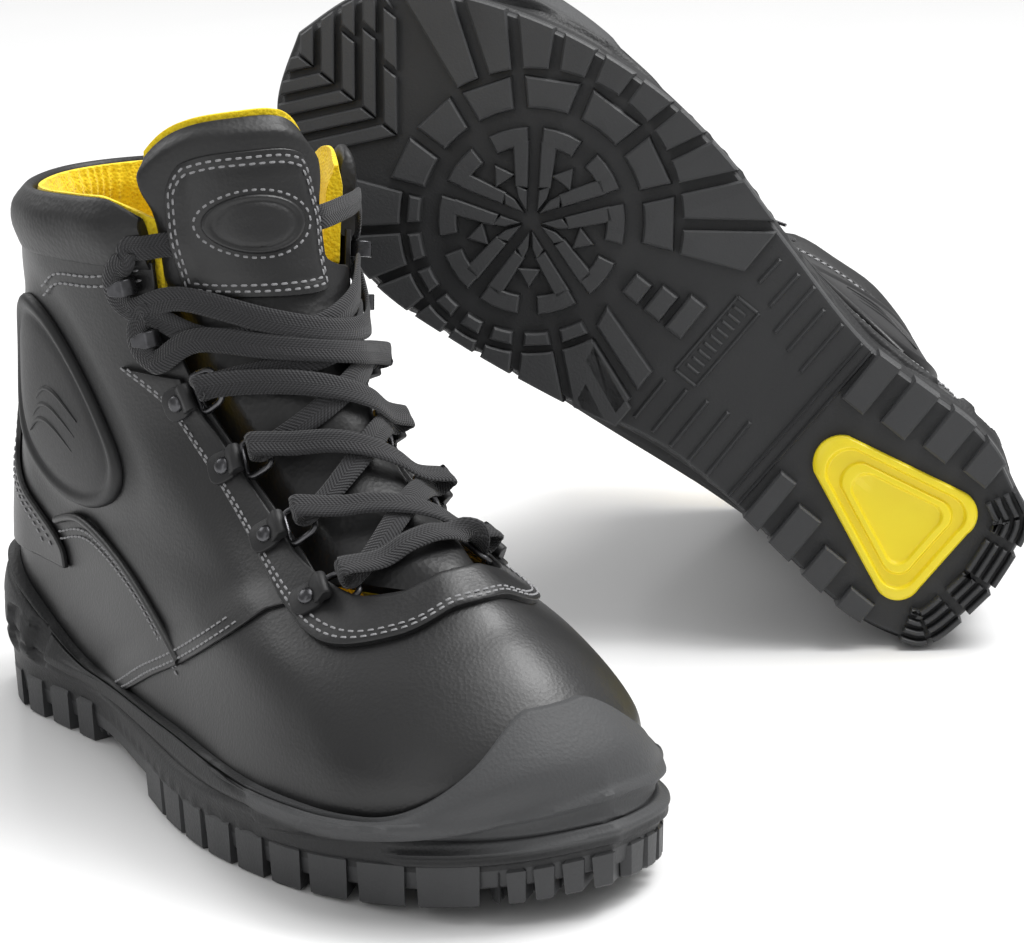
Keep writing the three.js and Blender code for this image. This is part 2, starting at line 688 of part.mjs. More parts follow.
// Flat half turn of the lace round a hook's stem, from its upper side to its lower side.
function hookTurn(frame, sign) {
  const stem = frame.origin.clone().addScaledVector(frame.inward, HOOK_STEM)
    .addScaledVector(frame.normal, HOOK_LACE);
  const upward = frame.along.clone().multiplyScalar(Math.sign(frame.along.z));
  const radius = HOOK_WIDTH / 2 + GAP + LACE_WIDTH / 2 + 0.6;
  return [0, 0.25, 0.5, 0.75, 1].map((share) => {
    const angle = share * Math.PI;
    const point = stem.clone().addScaledVector(upward, radius * Math.cos(angle))
      .addScaledVector(frame.inward, -radius * Math.sin(angle));
    return { point, normal: frame.normal.clone().multiplyScalar(sign) };
  });
}

// Angle and height where the face comes nearest to a point.
function nearestOnFace(point) {
  let [theta, t] = [Math.PI, 0.6];
  for (let step = 0.4; step > 0.001; step /= 1.6) {
    const tries = [-1, 0, 1].flatMap((i) =>
      [-1, 0, 1].map((j) => [theta + i * step, clamp(t + j * step / 2, 0, 1)]));
    const gaps = tries.map(([a, b]) => facePoint(a, b).distanceTo(point));
    [theta, t] = tries[gaps.indexOf(Math.min(...gaps))];
  }
  return [theta, t];
}

// Point on the throat side of a fitting, where its strands set off.
function strandStart({ frame, hook }) {
  const reach = hook ? HOOK_STEM + 2 : BAR_PLACE + RING_REACH + 2;
  return frame.origin.clone().addScaledVector(frame.inward, reach);
}

// Place on the tongue under the straight line between two fittings.
function strandStation(from, to, share, lift, sign) {
  const [start, end] = [strandStart(from), strandStart(to)];
  const [[startTheta, startT], [endTheta, endT]] = [nearestOnFace(start), nearestOnFace(end)];
  const out = faceNormal(startTheta, startT).add(faceNormal(endTheta, endT));
  const rise = new THREE.Vector3().crossVectors(end.clone().sub(start), out);
  rise.multiplyScalar(Math.sign(rise.z));
  const theta = mix(startTheta, endTheta, share);
  let [low, high] = [Math.min(startT, endT) - 0.1, Math.max(startT, endT) + 0.15];
  for (let i = 0; i < 20; i++) {
    const middle = (low + high) / 2;
    if (facePoint(theta, middle).sub(start).dot(rise) < 0) low = middle;
    else high = middle;
  }
  return { point: liftedPoint(theta, low, lift), normal: faceNormal(theta, low).multiplyScalar(sign) };
}

// Strand over the tongue between two fittings, on top of the crossing strand or under it.
function strand(from, to, over, sign) {
  const middle = over ? LACE_OVER : LACE_UNDER;
  return [0.1, 0.3, 0.5, 0.7, 0.9].map((share) =>
    strandStation(from, to, share, middle + 1.6 * (2 * share - 1) ** 2, sign));
}

// The whole lace: tucked end, down the rings crossing over, straight across the lowest pair,
// up again, tucked end.
function laceStations(fittings) {
  const order = [[1, 5], [-1, 4], [1, 3], [-1, 2], [1, 1], [-1, 0], [1, 0], [-1, 1], [1, 2], [-1, 3],
    [1, 4], [-1, 5]];
  const visits = order.map(([side, level]) => fittings.find((f) => f.side === side && f.level === level));
  const isOver = (a, b) => (a.side > 0 ? a.level > b.level : b.level > a.level);
  const stations = TUCKED_END.map(([angle, t]) => faceStation(1, angle, t, TUCK_LIFT, -1));
  visits.forEach((visit, i) => {
    const goingDown = i < visits.length / 2;
    const before = visits[i - 1];
    if (visit.hook) {
      const turn = hookTurn(visit.frame, goingDown ? -1 : 1);
      stations.push(...(goingDown ? turn : turn.reverse()));
    } else {
      const lowest = before.level === 0 && visit.level === 0;
      const fromAbove = lowest || isOver(before, visit);
      const turn = ringTurn(visit.frame);
      stations.push(...(fromAbove ? turn : turn.reverse()));
    }
    const after = visits[i + 1];
    if (!after) return;
    if (visit.level === 0 && after.level === 0) {
      stations.push(...lowestStrand(visit, after));
      return;
    }
    const over = isOver(visit, after);
    const sign = visit.hook && after.hook ? (goingDown ? -1 : 1) : (over ? 1 : -1);
    stations.push(...strand(visit, after, over, sign));
  });
  const tail = TUCKED_END.map(([angle, t]) => faceStation(-1, angle, t, TUCK_LIFT, 1));
  return [...stations, ...tail.reverse()];
}

// The straight strand between the lowest rings turns over once near its inner end.
function lowestStrand(from, to) {
  const stations = [0.12, 0.3, 0.5, 0.7, 0.88].map((share) => strandStation(from, to, share, 1.8, 1));
  const along = to.frame.origin.clone().sub(from.frame.origin).normalize();
  stations[0].point.addScaledVector(stations[0].normal, 2.5);
  stations[0].normal.cross(along).normalize();
  return stations;
}

const FINISHES = {
  leather: { color: 0x161617, roughness: 0.42, metalness: 0 },
  textile: { color: 0x202022, roughness: 0.9, metalness: 0 },
  lining: { color: 0xf2c40f, roughness: 0.85, metalness: 0 },
  rubber: { color: 0x1d1e20, roughness: 0.7, metalness: 0 },
  foam: { color: 0x2a2b2d, roughness: 0.8, metalness: 0 },
  insert: { color: 0xf4c613, roughness: 0.4, metalness: 0 },
  steel: { color: 0x9a9da1, roughness: 0.3, metalness: 1 },
  hardware: { color: 0x55575b, roughness: 0.3, metalness: 1 },
};

// One boot as a group of named meshes, shaped as a right boot.
function makeBoot(name) {
  const boot = new THREE.Group();
  const add = (piece, geometry, finish) => {
    const mesh = new THREE.Mesh(geometry, new THREE.MeshStandardMaterial(FINISHES[finish]));
    mesh.name = `${name}_${piece}`;
    boot.add(mesh);
  };
  const fittings = [];
  for (const side of [1, -1]) {
    [...RING_PLACES, ...HOOK_PLACES].forEach((place, level) => {
      const hook = level >= RING_PLACES.length;
      fittings.push({ side, level, hook, place, frame: fittingFrame(place, side) });
    });
  }
  add("outsole", tread(), "rubber");
  add("midsole", midsole(), "foam");
  add("heel_insert", prism(insertOutline(0), LUG_DEPTH - 2.5, INSERT_DEPTH), "insert");
  add("protection_plate", plateUnderfoot(), "steel");
  add("footbed", insole(), "textile");
  add("safety_toecap", toecap(), "steel");
  add("vamp", vamp(), "leather");
  add("quarter_outer", quarter(1), "leather");
  add("quarter_inner", quarter(-1), "leather");
  add("heel_counter", heelCounter(), "leather");
  add("ankle_pad_outer", anklePad(1), "leather");
  add("ankle_pad_inner", anklePad(-1), "leather");
  add("collar", collar(), "leather");
  add("lining", lining(), "lining");
  add("tongue", tongue(), "leather");
  add("tongue_patch", tonguePatch(), "leather");
  add("eyestay", eyestay(fittings.filter((f) => !f.hook).map((f) => f.frame)), "leather");
  add("lace", ribbon(laceStations(fittings)), "textile");
  for (const { side, level, hook, frame } of fittings) {
    const where = side > 0 ? "outer" : "inner";
    if (hook) {
      add(`hook_${where}_${level - 3}`, onFitting(hookStrip(), frame, HOOK_LIFT), "hardware");
    } else {
      add(`ring_${where}_${level + 1}`, onFitting(ringLoop(), frame, 0), "hardware");
    }
  }
  return boot;
}

const right = makeBoot("right");
right.rotation.z = Math.PI;

const left = makeBoot("left");
left.scale.x = -1;
const turn = LEFT_TURN.map((degrees) => THREE.MathUtils.degToRad(degrees));
left.rotation.set(...turn, "ZYX");
left.position.set(...LEFT_HEEL, 0);
left.position.z = -new THREE.Box3().setFromObject(left, true).min.z;

const pair = new THREE.Group();
pair.add(right, left);
const box = new THREE.Box3().setFromObject(pair, true);
const centre = box.getCenter(new THREE.Vector3());
pair.position.set(-centre.x, -centre.y, -box.min.z);

const boots = new THREE.Group();
boots.add(pair);
export default boots;
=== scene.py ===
# A pair of black leather work boots with yellow linings. The right boot stands; the left one
# lies tipped on its heel behind it and shows its tread. Shapes are drawn in a boot's own
# millimetres: x to its outer side, y forward from the back of the heel, z up from the floor.
import json
import math

import bpy
import numpy as np
from mathutils import Euler, Matrix, Vector


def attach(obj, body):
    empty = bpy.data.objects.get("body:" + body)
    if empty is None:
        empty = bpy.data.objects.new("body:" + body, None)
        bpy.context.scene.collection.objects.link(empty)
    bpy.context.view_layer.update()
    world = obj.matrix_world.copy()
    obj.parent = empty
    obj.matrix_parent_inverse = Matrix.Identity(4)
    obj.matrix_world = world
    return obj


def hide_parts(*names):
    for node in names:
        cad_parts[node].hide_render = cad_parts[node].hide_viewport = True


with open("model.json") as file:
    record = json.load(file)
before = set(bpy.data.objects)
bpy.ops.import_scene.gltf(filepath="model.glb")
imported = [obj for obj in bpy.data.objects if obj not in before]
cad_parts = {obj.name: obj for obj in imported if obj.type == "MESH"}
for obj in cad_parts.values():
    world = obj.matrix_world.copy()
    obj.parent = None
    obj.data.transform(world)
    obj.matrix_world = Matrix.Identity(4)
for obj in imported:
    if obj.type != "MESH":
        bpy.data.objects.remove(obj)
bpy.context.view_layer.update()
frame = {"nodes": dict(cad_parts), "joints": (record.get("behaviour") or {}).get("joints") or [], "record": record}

MM = 0.001
SIDES = ("right", "left")

# How the left boot lies: turns about x, y and z in degrees.
LEFT_TURN = (102.25, 49.47, 149.14)

# Sole unit: depths and heights from the floor, the rise at the toe, and how far the midsole's
# wall stands out. The midsole's top is a share of the upper's height.
LUG_DEPTH = 5
PLATE_TOP = 10
SIDE_TOP = 13.5
TOE_SPRING = 9
SPRING_START = 215
SPRING_LENGTH = 90
SOLE_WALL = 3.6
MIDSOLE_TOP = 0.17
MIDSOLE_WAIST = 0.02

# Tread: what is too small to mould, the turning disc under the ball of the foot, and the root
# of an ordinary block.
SHORTEST_SIDE = 0.25
SMALLEST_BLOCK = 6
DISC_CENTRE = (1, 203)
DISC_RADIUS = 33
GROOVE_RADIUS = 37.5
CHANNEL = 1.5
BLOCK_ROOT = LUG_DEPTH + 0.6

# Footbed: its gap to the lining's outside, its thickness and the line that it is crowned along.
FOOTBED_MARGIN = 13
FOOTBED_THICKNESS = 3.1
FOOTBED_MIDDLE = 4

# Layers of the upper, counted from its outer face.
LEATHER = 1.8
EYESTAY_TOP = 2.4
TONGUE_FACE = -2.4
TONGUE_BACK = -7.2

# Millimetres of hide for a radian round the face and for its whole height.
HIDE_ROUND = 50
HIDE_HEIGHT = 180

# Ankle guard: its middle as an angle and a height, and its reach in both.
GUARD_TURN = 1.18
GUARD_HEIGHT = 0.53
GUARD_REACH = (0.37, 0.185)

# Collar: the height of its lower seam, and where its ends stop.
COLLAR_SEAM = 0.8
COLLAR_END = 2.14

# Badge patch: [height, outer side, inner side], its middle and the lift of its face.
PATCH_SIDES = [[0.76, -0.87, 0.15], [0.85, -0.86, 0.15], [0.9, -0.84, 0.13], [0.94, -0.78, 0.09]]
PATCH_HEIGHT = 0.85
PATCH_MIDDLE = -0.33
PATCH_TOP = TONGUE_FACE + 2.6
BADGE_HEIGHT = 0.853

# Lacing: rings, then the lace, then hooks.
RING_LIFT = 4.85
BAR_PLACE = 5.5
RING_WIRE = 1.05
RING_WIDTH = 12
RING_REACH = 9
LACE_WIDTH = 7.5
LACE_THICKNESS = 1.3
LACE_SLACK = 1.4
HOOK_LIFT = 0.95
HOOK_RISE = 6
HOOK_METAL = 1.2
HOOK_WIDTH = 4
HOOK_STEM = 3.9

# Tread outline [forward, sideways], heel to toe, outer and inner side of the foot.
OUTER_EDGE = [[0, 0], [4, 24], [14, 32], [39, 41], [85, 40], [130, 50], [165, 59], [197, 62],
              [237, 56.6], [275, 42], [296, 24], [305, 0]]
INNER_EDGE = [[0, 0], [4, 24], [14, 32], [39, 36], [85, 32], [120, 32], [160, 41], [197, 47],
              [232, 49], [270, 40], [295, 24], [305, 0]]

# Rings of the upper's outer face from the sole edge to the tongue top: back forward and up,
# front forward and up, rounding at back and front, half widths from heel to toe, outward swing.
RINGS = [
    [14, 22, 292, 29, 34, 46, 33, 35, 45, 54, 49, 1.0],
    [7, 42, 296, 45, 36, 50, 36, 37, 45, 51, 46, 1.0],
    [8, 62, 281, 63, 38, 58, 37, 37, 42, 46, 38, 1.0],
    [12, 82, 256, 79, 42, 76, 38, 38, 38, 36, 29, 1.0],
    [17, 102, 231, 93, 46, 80, 39, 40, 38, 31, 26, 0.9],
    [21, 121, 201, 110, 50, 76, 39, 42, 40, 31, 26, 0.7],
    [24, 140, 181, 134, 54, 66, 39, 44, 43, 35, 30, 0.5],
    [27, 160, 168, 162, 58, 58, 40, 46, 46, 40, 36, 0.3],
    [31, 180, 162, 186, 62, 54, 41, 47, 47, 44, 40, 0.2],
    [34, 196, 160, 212, 62, 54, 42, 47, 47, 44, 40, 0.2],
]
SWING = [1, 4, 6, 8, 5]

# Seam lines as [share of height, angle from the front line].
THROAT_EDGE = [[0.3, 0.78], [0.37, 0.81], [0.46, 0.87], [0.56, 0.92], [0.64, 0.99],
               [0.75, 1.02], [0.85, 0.95], [0.95, 0.92]]
EYESTAY_OUTSIDE = [[0.65, 1.34], [0.607, 1.17], [0.547, 1.11], [0.447, 1.06], [0.365, 1.0],
                   [0.305, 0.93], [0.27, 0.8], [0.29, 0.56], [0.334, 0.25], [0.343, 0]]
EYESTAY_INSIDE = [[0.65, 1.03], [0.63, 1.02], [0.56, 0.95], [0.46, 0.9], [0.39, 0.84],
                  [0.345, 0.69], [0.353, 0.5], [0.375, 0.34], [0.392, 0.18], [0.396, 0]]

# Fittings: height and angle of the rivet, then of a point towards the throat.
RING_PLACES = [((0.325, 0.85), (0.358, 0.72)), ((0.42, 0.95), (0.453, 0.81)),
               ((0.525, 1.0), (0.552, 0.84)), ((0.615, 1.08), (0.64, 0.92))]
HOOK_PLACES = [((0.7, 1.12), (0.71, 0.96)), ((0.765, 1.16), (0.775, 1.0))]

# Camera, from the back of the right boot's heel.
CAMERA_TARGET = (81.8, -150, 81.9)
CAMERA_TURN = -35.8
CAMERA_RISE = 15.13
CAMERA_ROLL = -2
CAMERA_DISTANCE = 1038
LENS = 112.5


# Numbers and curves

def mix(a, b, share):
    return a + (b - a) * share


def smooth(x, low, high):
    share = np.clip((np.asarray(x, float) - low) / (high - low), 0, 1)
    return share * share * (3 - 2 * share)


def bump(x, centre, width):
    """1 at the centre, falling to 0 at a width away."""
    return np.exp(-((np.asarray(x, float) - centre) / width) ** 2)


def through(values, x):
    """Smooth value through a list of numbers or rows at x from 0 to 1."""
    values = np.asarray(values, float)
    last = len(values) - 1
    place = np.clip(np.asarray(x, float), 0, 1) * last
    i = np.minimum(place.astype(int), last - 1)
    u = place - i
    if values.ndim > 1:
        u = u[..., None]
    a, b = values[np.maximum(i - 1, 0)], values[i]
    c, d = values[i + 1], values[np.minimum(i + 2, last)]
    return 0.5 * (2 * b + (c - a) * u + (2 * a - 5 * b + 4 * c - d) * u * u
                  + (3 * b - a - 3 * c + d) * u ** 3)


def across_rows(rows, x):
    """Smooth value through each point's own row of numbers."""
    last = rows.shape[-1] - 1
    place = np.clip(x, 0, 1) * last
    i = np.minimum(place.astype(int), last - 1)
    u = place - i
    a, b, c, d = (np.take_along_axis(rows, np.clip(i + k, 0, last)[..., None], -1)[..., 0]
                  for k in (-1, 0, 1, 2))
    return 0.5 * (2 * b + (c - a) * u + (2 * a - 5 * b + 4 * c - d) * u * u
                  + (3 * b - a - 3 * c + d) * u ** 3)


def lookup(table, key):
    keys, values = zip(*table)
    return np.interp(key, keys, values)


def unit(vectors):
    return vectors / np.maximum(np.linalg.norm(vectors, axis=-1, keepdims=True), 1e-9)


def evenly(points, step):
    """Places at even spacing along a line of points, as shares of its point count."""
    gaps = np.linalg.norm(np.diff(points, axis=0), axis=1)
    length = np.concatenate([[0], np.cumsum(gaps)])
    count = max(2, int(length[-1] / step) + 1)
    return np.interp(np.linspace(0, length[-1], count), length, np.arange(len(points)))


def sample(points, places):
    rows = np.asarray(points, float)
    return np.stack([np.interp(places, np.arange(len(rows)), rows[:, k]) for k in range(3)], 1)


# The upper's face: theta runs from the heel (0) round the outer side to the toe (pi) and back
# round the inner side, t up from the sole edge (0) to the tongue top (1).

def face(theta, t):
    """Point of the upper's outer face."""
    theta, t = np.broadcast_arrays(np.asarray(theta, float), np.asarray(t, float))
    ring = through(RINGS, t)
    back, back_up, front, front_up, round_back, round_front = (ring[..., k] for k in range(6))
    share = (1 - np.cos(theta)) / 2
    length = front - back

    def round_off(distance, radius):
        return np.sqrt(np.maximum(0, 1 - (1 - np.minimum(distance, radius) / radius) ** 2))

    half = across_rows(ring[..., 6:11], share)
    half = half * round_off(share * length, round_back) * round_off((1 - share) * length, round_front)
    x = np.where(np.sin(theta) >= 0, half, -half) + through(SWING, share) * ring[..., 11]
    return np.stack([x, back + length * share, mix(back_up, front_up, share)], -1)


def face_normal(theta, t):
    """Direction straight out of the face."""
    step = 0.02
    t = np.asarray(t, float)
    along = face(theta + step, t) - face(theta - step, t)
    up = face(theta, np.minimum(t + step, 1)) - face(theta, np.maximum(t - step, 0))
    return unit(np.cross(along, up))


def lifted(theta, t, lift):
    """Point that stands lift outside the face."""
    theta, t, lift = np.broadcast_arrays(*(np.asarray(v, float) for v in (theta, t, lift)))
    return face(theta, t) + face_normal(theta, t) * lift[..., None]


TURN_SHARES = np.linspace(0, 1, 1001)


def turn_at(s):
    """Angle at the share s of half a turn, steps drawn together at heel and toe."""
    return math.pi * s - 0.3 * np.sin(2 * math.pi * s)


def share_of_turn(theta):
    return np.interp(theta, turn_at(TURN_SHARES), TURN_SHARES)


def toe_turn(across, half):
    """Angles across the toe, half to each side, for across from -1 to 1."""
    start = share_of_turn(math.pi - half)
    return math.pi + np.sign(across) * (math.pi - turn_at(mix(1, start, np.abs(across))))


def heel_turn(across, half):
    """Angles round the heel, half to each side, for across from -1 to 1."""
    return np.sign(across) * turn_at(np.abs(across) * share_of_turn(half))


def throat_angle(t):
    """Edge of the throat, as an angle from the front line."""
    return lookup(THROAT_EDGE, t)


def seam_angle(t):
    """Seam between vamp and quarter, as an angle from the front line."""
    return 1.71 - 3.03 * (np.asarray(t, float) - 0.087)


def counter_angle(t):
    """Front edge of the heel counter."""
    return 1.02 - 0.4 * smooth(t, 0.22, 0.4)


def collar_top(theta):
    """Rim of the collar: lower at the throat, less so on the inner side."""
    inner = 0.04 * smooth(-np.asarray(theta, float), 1.7, 2.1)
    return 0.885 - 0.035 * smooth(np.abs(theta), 1.9, 2.25) + inner


def midsole_top(theta):
    """Upper edge of the midsole: high at the heel and over the toe, low between them."""
    toe = np.abs(np.abs(theta) - math.pi)
    return (MIDSOLE_WAIST + (MIDSOLE_TOP - MIDSOLE_WAIST) * (1 - smooth(math.pi - toe, 0.45, 1.1))
            + MIDSOLE_TOP * (1 - smooth(toe, 0.12, 0.66)))


def spring(y):
    """How far the sole lifts off the floor towards the toe."""
    return TOE_SPRING * (np.maximum(0, np.asarray(y, float) - SPRING_START) / SPRING_LENGTH) ** 2


def sole_edge(s, side, spread):
    """Points of the tread outline at s from heel (0) to toe (1), moved out by spread."""
    edge = np.array(OUTER_EDGE if side > 0 else INNER_EDGE, float)
    s = np.asarray(s, float)

    def at(x):
        point = through(edge, x)
        return np.stack([point[..., 1] * side, point[..., 0]], -1)

    tangent = unit(at(np.minimum(s + 0.01, 1)) - at(np.maximum(s - 0.01, 0)))
    tangent = np.where((s <= 0)[..., None], [side, 0], tangent)
    tangent = np.where((s >= 1)[..., None], [-side, 0], tangent)
    outward = np.stack([tangent[..., 1] * side, -tangent[..., 0] * side], -1)
    return at(s) + outward * np.asarray(spread, float)[..., None]


# Drawing: points and faces of a piece, in a boot's millimetres

class Draft:
    """A piece being drawn: points, faces, each point's place on the cloth in millimetres, and how
    much painted highlight it carries, from 0 to 1."""

    def __init__(self):
        self.points = []
        self.faces = []
        self.cloth = []
        # Share of painted highlight at each point, from 0 to 1.
        self.painted_highlight = []

    def add(self, points, faces, cloth=None, painted_highlight=None):
        start = len(self.points)
        points = np.asarray(points, float).reshape(-1, 3)
        self.points.extend(points)
        self.faces.extend([[start + i for i in f] for f in faces])
        self.cloth.extend(points[:, :2] if cloth is None else np.asarray(cloth).reshape(-1, 2))
        self.painted_highlight.extend(np.zeros(len(points)) if painted_highlight is None else np.asarray(painted_highlight).ravel())
        return self

    def join(self, other):
        return self.add(other.points, other.faces, other.cloth, other.painted_highlight)


def grid_faces(columns, rows, start=0, flip=False, wrap=False):
    """Quads of a grid with columns + 1 points a row, or columns points if it closes round."""
    wide = columns if wrap else columns + 1
    faces = []
    for j in range(rows):
        for i in range(columns):
            a, b = j * wide + i, j * wide + (i + 1) % wide
            quad = [start + a, start + b, start + b + wide, start + a + wide]
            faces.append(quad[::-1] if flip else quad)
    return faces


def shell(place, columns, rows, outer, inner):
    """Curved shell over part of the face. place(u, v) gives theta and t; outer and inner give
    the lifts of its two faces as numbers or as functions of theta, t, u and v."""
    v, u = np.meshgrid(np.linspace(0, 1, rows + 1), np.linspace(0, 1, columns + 1), indexing="ij")
    theta, t = place(u, v)
    layers = []
    for lift in (outer, inner):
        height = lift(theta, t, u, v) if callable(lift) else lift
        layers.append(lifted(theta, t, height))
    wide = columns + 1
    layer = wide * (rows + 1)
    faces = grid_faces(columns, rows) + grid_faces(columns, rows, layer, flip=True)
    for i in range(columns):
        top = rows * wide + i
        faces.append([i + 1, i, layer + i, layer + i + 1])
        faces.append([top, top + 1, layer + top + 1, layer + top])
    for j in range(rows):
        left, right = j * wide, j * wide + columns
        faces.append([left, left + wide, layer + left + wide, layer + left])
        faces.append([right + wide, right, layer + right, layer + right + wide])
    flat = np.stack([theta * HIDE_ROUND, t * HIDE_HEIGHT], -1).reshape(-1, 2)
    return Draft().add(np.concatenate([p.reshape(-1, 3) for p in layers]), faces,
                       np.concatenate([flat, flat]))


def tube(path, radius, sides=10, closed=False, normal=None):
    """Round wire along a path. normal fixes the plane that the rings are turned from."""
    path = np.asarray(path, float)
    count = len(path)
    if closed:
        tangent = unit(np.roll(path, -1, 0) - np.roll(path, 1, 0))
    else:
        tangent = unit(np.gradient(path, axis=0))
    reference = np.broadcast_to(np.asarray((0, 0, 1) if normal is None else normal, float), path.shape)
    sideways = unit(np.cross(tangent, reference))
    upward = np.cross(sideways, tangent)
    radius = np.broadcast_to(np.asarray(radius, float), (count,))
    angle = np.arange(sides) * 2 * math.pi / sides
    ring = sideways[:, None] * np.cos(angle)[:, None] + upward[:, None] * np.sin(angle)[:, None]
    points = path[:, None] + ring * radius[:, None, None]
    faces = grid_faces(sides, count - 1, wrap=True, flip=True)
    if closed:
        last = (count - 1) * sides
        faces += [[last + (j + 1) % sides, last + j, j, (j + 1) % sides] for j in range(sides)]
    else:
        faces.append(list(range(sides)))
        faces.append(list(range((count - 1) * sides, count * sides))[::-1])
    return Draft().add(points.reshape(-1, 3), faces)


def lathe(profile, steps=20):
    """Turned shape about z from [radius, height] points, bottom to top, ending on the axis."""
    angle = np.arange(steps) * 2 * math.pi / steps
    points = []
    for radius, height in profile[:-1]:
        points.extend(np.stack([radius * np.cos(angle), radius * np.sin(angle),
                                np.full(steps, height)], 1))
    faces = grid_faces(steps, len(profile) - 2, wrap=True)
    points.append([0, 0, profile[-1][1]])
    top = len(points) - 1
    start = (len(profile) - 2) * steps
    faces += [[start + i, start + (i + 1) % steps, top] for i in range(steps)]
    faces.append(list(range(steps))[::-1])
    return Draft().add(points, faces)


def inset(outline, distance):
    """Outline of a flat shape, drawn anticlockwise, moved in by a distance."""
    outline = np.asarray(outline, float)
    before = unit(outline - np.roll(outline, 1, 0))
    after = unit(np.roll(outline, -1, 0) - outline)
    normals = [np.stack([-d[:, 1], d[:, 0]], 1) for d in (before, after)]
    middle = unit(normals[0] + normals[1])
    stretch = 1 / np.maximum(0.5, (middle * normals[0]).sum(1))
    return outline + middle * (distance * stretch)[:, None]


def area(outline):
    """Area inside a flat outline, below zero if it is drawn clockwise."""
    x, y = outline[:, 0], outline[:, 1]
    return (x * np.roll(y, -1) - y * np.roll(x, -1)).sum() / 2


def anticlockwise(outline):
    outline = np.asarray(outline, float)
    return outline if area(outline) > 0 else outline[::-1]


def block(outline, root, chamfer=0.7, taper=0.5, face_height=0.0):
    """Moulded block of the tread, its face down at face_height and its rounded root above."""
    outline = anticlockwise(outline)
    rings = [(inset(outline, chamfer + taper), 0), (inset(outline, taper), chamfer),
             (outline, root - face_height - 1), (inset(outline, 1), root - face_height)]
    points = []
    for ring, height in rings:
        points.append(np.column_stack([ring, face_height + height + spring(ring[:, 1])]))
    count = len(outline)
    faces = [list(range(count))[::-1]] + grid_faces(count, 3, wrap=True)
    faces.append(list(range(3 * count, 4 * count)))
    return Draft().add(np.concatenate(points), faces)


def clip(outline, border):
    """Part of a flat outline that lies inside a convex border, or None if little is left."""
    outline = [np.asarray(p, float) for p in anticlockwise(outline)]
    border = anticlockwise(border)
    for i in range(len(border)):
        a, b = border[i], border[(i + 1) % len(border)]
        edge = b - a
        inside = [edge[0] * (p[1] - a[1]) - edge[1] * (p[0] - a[0]) for p in outline]
        kept = []
        for k, point in enumerate(outline):
            after = (k + 1) % len(outline)
            if inside[k] >= 0:
                kept.append(point)
            if (inside[k] >= 0) != (inside[after] >= 0):
                share = inside[k] / (inside[k] - inside[after])
                kept.append(mix(point, outline[after], share))
        outline = kept
        if len(outline) < 3:
            return None
    clean = [p for k, p in enumerate(outline) if np.linalg.norm(p - outline[k - 1]) > SHORTEST_SIDE]
    if len(clean) < 3:
        return None
    clean = np.array(clean)
    return clean if area(clean) > SMALLEST_BLOCK else None


# Stitching

def stitches(points, normals, pitch=3.0, length=2.25, width=0.36):
    """Thread stitches along a line: each is a short rounded grain that dips in at its ends."""
    places = evenly(points, pitch)[:-1]
    centres = sample(points, places)
    ahead = unit(sample(points, places + 0.3) - sample(points, places - 0.3))
    up = unit(sample(normals, places))
    sideways = unit(np.cross(ahead, up))
    draft = Draft()
    ring = [(-1, 0), (0, 1), (1, 0), (0, -0.6)]
    for c, a, n, w in zip(centres, ahead, up, sideways):
        grain = [c - a * length / 2 - n * 0.35]
        for reach in (-0.3, 0.3):
            for across, high in ring:
                grain.append(c + a * length * reach + w * width * across + n * width * high)
        grain.append(c + a * length / 2 - n * 0.35)
        faces = [[0, 1 + (j + 1) % 4, 1 + j] for j in range(4)]
        faces += [[1 + j, 1 + (j + 1) % 4, 5 + (j + 1) % 4, 5 + j] for j in range(4)]
        faces += [[5 + j, 5 + (j + 1) % 4, 9] for j in range(4)]
        draft.add(grain, faces)
    return draft


def seam(theta, t, lift, **sizes):
    """Stitches over the face along a line of angles and heights."""
    return stitches(lifted(theta, t, lift), face_normal(theta, t), **sizes)


# Fittings and the lace

def front_angle(side, angle):
    return math.pi - angle if side > 0 else math.pi + angle


class Fitting:
    """Place of a ring or hook: its rivet, outward normal, way to the throat and way along it."""

    def __init__(self, side, level, place):
        self.side = side
        self.level = level
        self.hook = level >= len(RING_PLACES)
        (t, angle), (aim_t, aim_angle) = place
        theta = front_angle(side, angle)
        self.origin = face(theta, t)
        self.normal = face_normal(theta, t)
        inward = face(front_angle(side, aim_angle), aim_t) - self.origin
        self.inward = unit(inward - self.normal * inward.dot(self.normal))
        self.along = np.cross(self.normal, self.inward)
        self.word = "outer" if side > 0 else "inner"

    def place(self, draft, lift=0.0):
        """Moves a draft drawn with x inward, y along the edge and z outward onto the fitting."""
        axes = np.array([self.inward, self.along, self.normal])
        placed = Draft()
        points = np.array(draft.points) @ axes + self.origin + self.normal * lift
        return placed.add(points, draft.faces, draft.cloth)

    def start(self):
        """Where a strand of lace leaves the fitting."""
        reach = HOOK_STEM + 2 if self.hook else BAR_PLACE + RING_REACH + 2
        return self.origin + self.inward * reach


FITTINGS = [Fitting(side, level, place) for side in (1, -1)
            for level, place in enumerate(RING_PLACES + HOOK_PLACES)]


def ring_turn(fitting):
    """Half turn of the lace round a ring's free bar, from above it to below."""
    bar = fitting.origin + fitting.inward * (BAR_PLACE + RING_REACH) + fitting.normal * RING_LIFT
    radius = RING_WIRE + LACE_SLACK + LACE_THICKNESS / 2
    stations = []
    for angle in np.linspace(0, math.pi, 7):
        normal = fitting.normal * math.cos(angle) - fitting.inward * math.sin(angle)
        stations.append((bar + normal * radius, normal))
    return stations


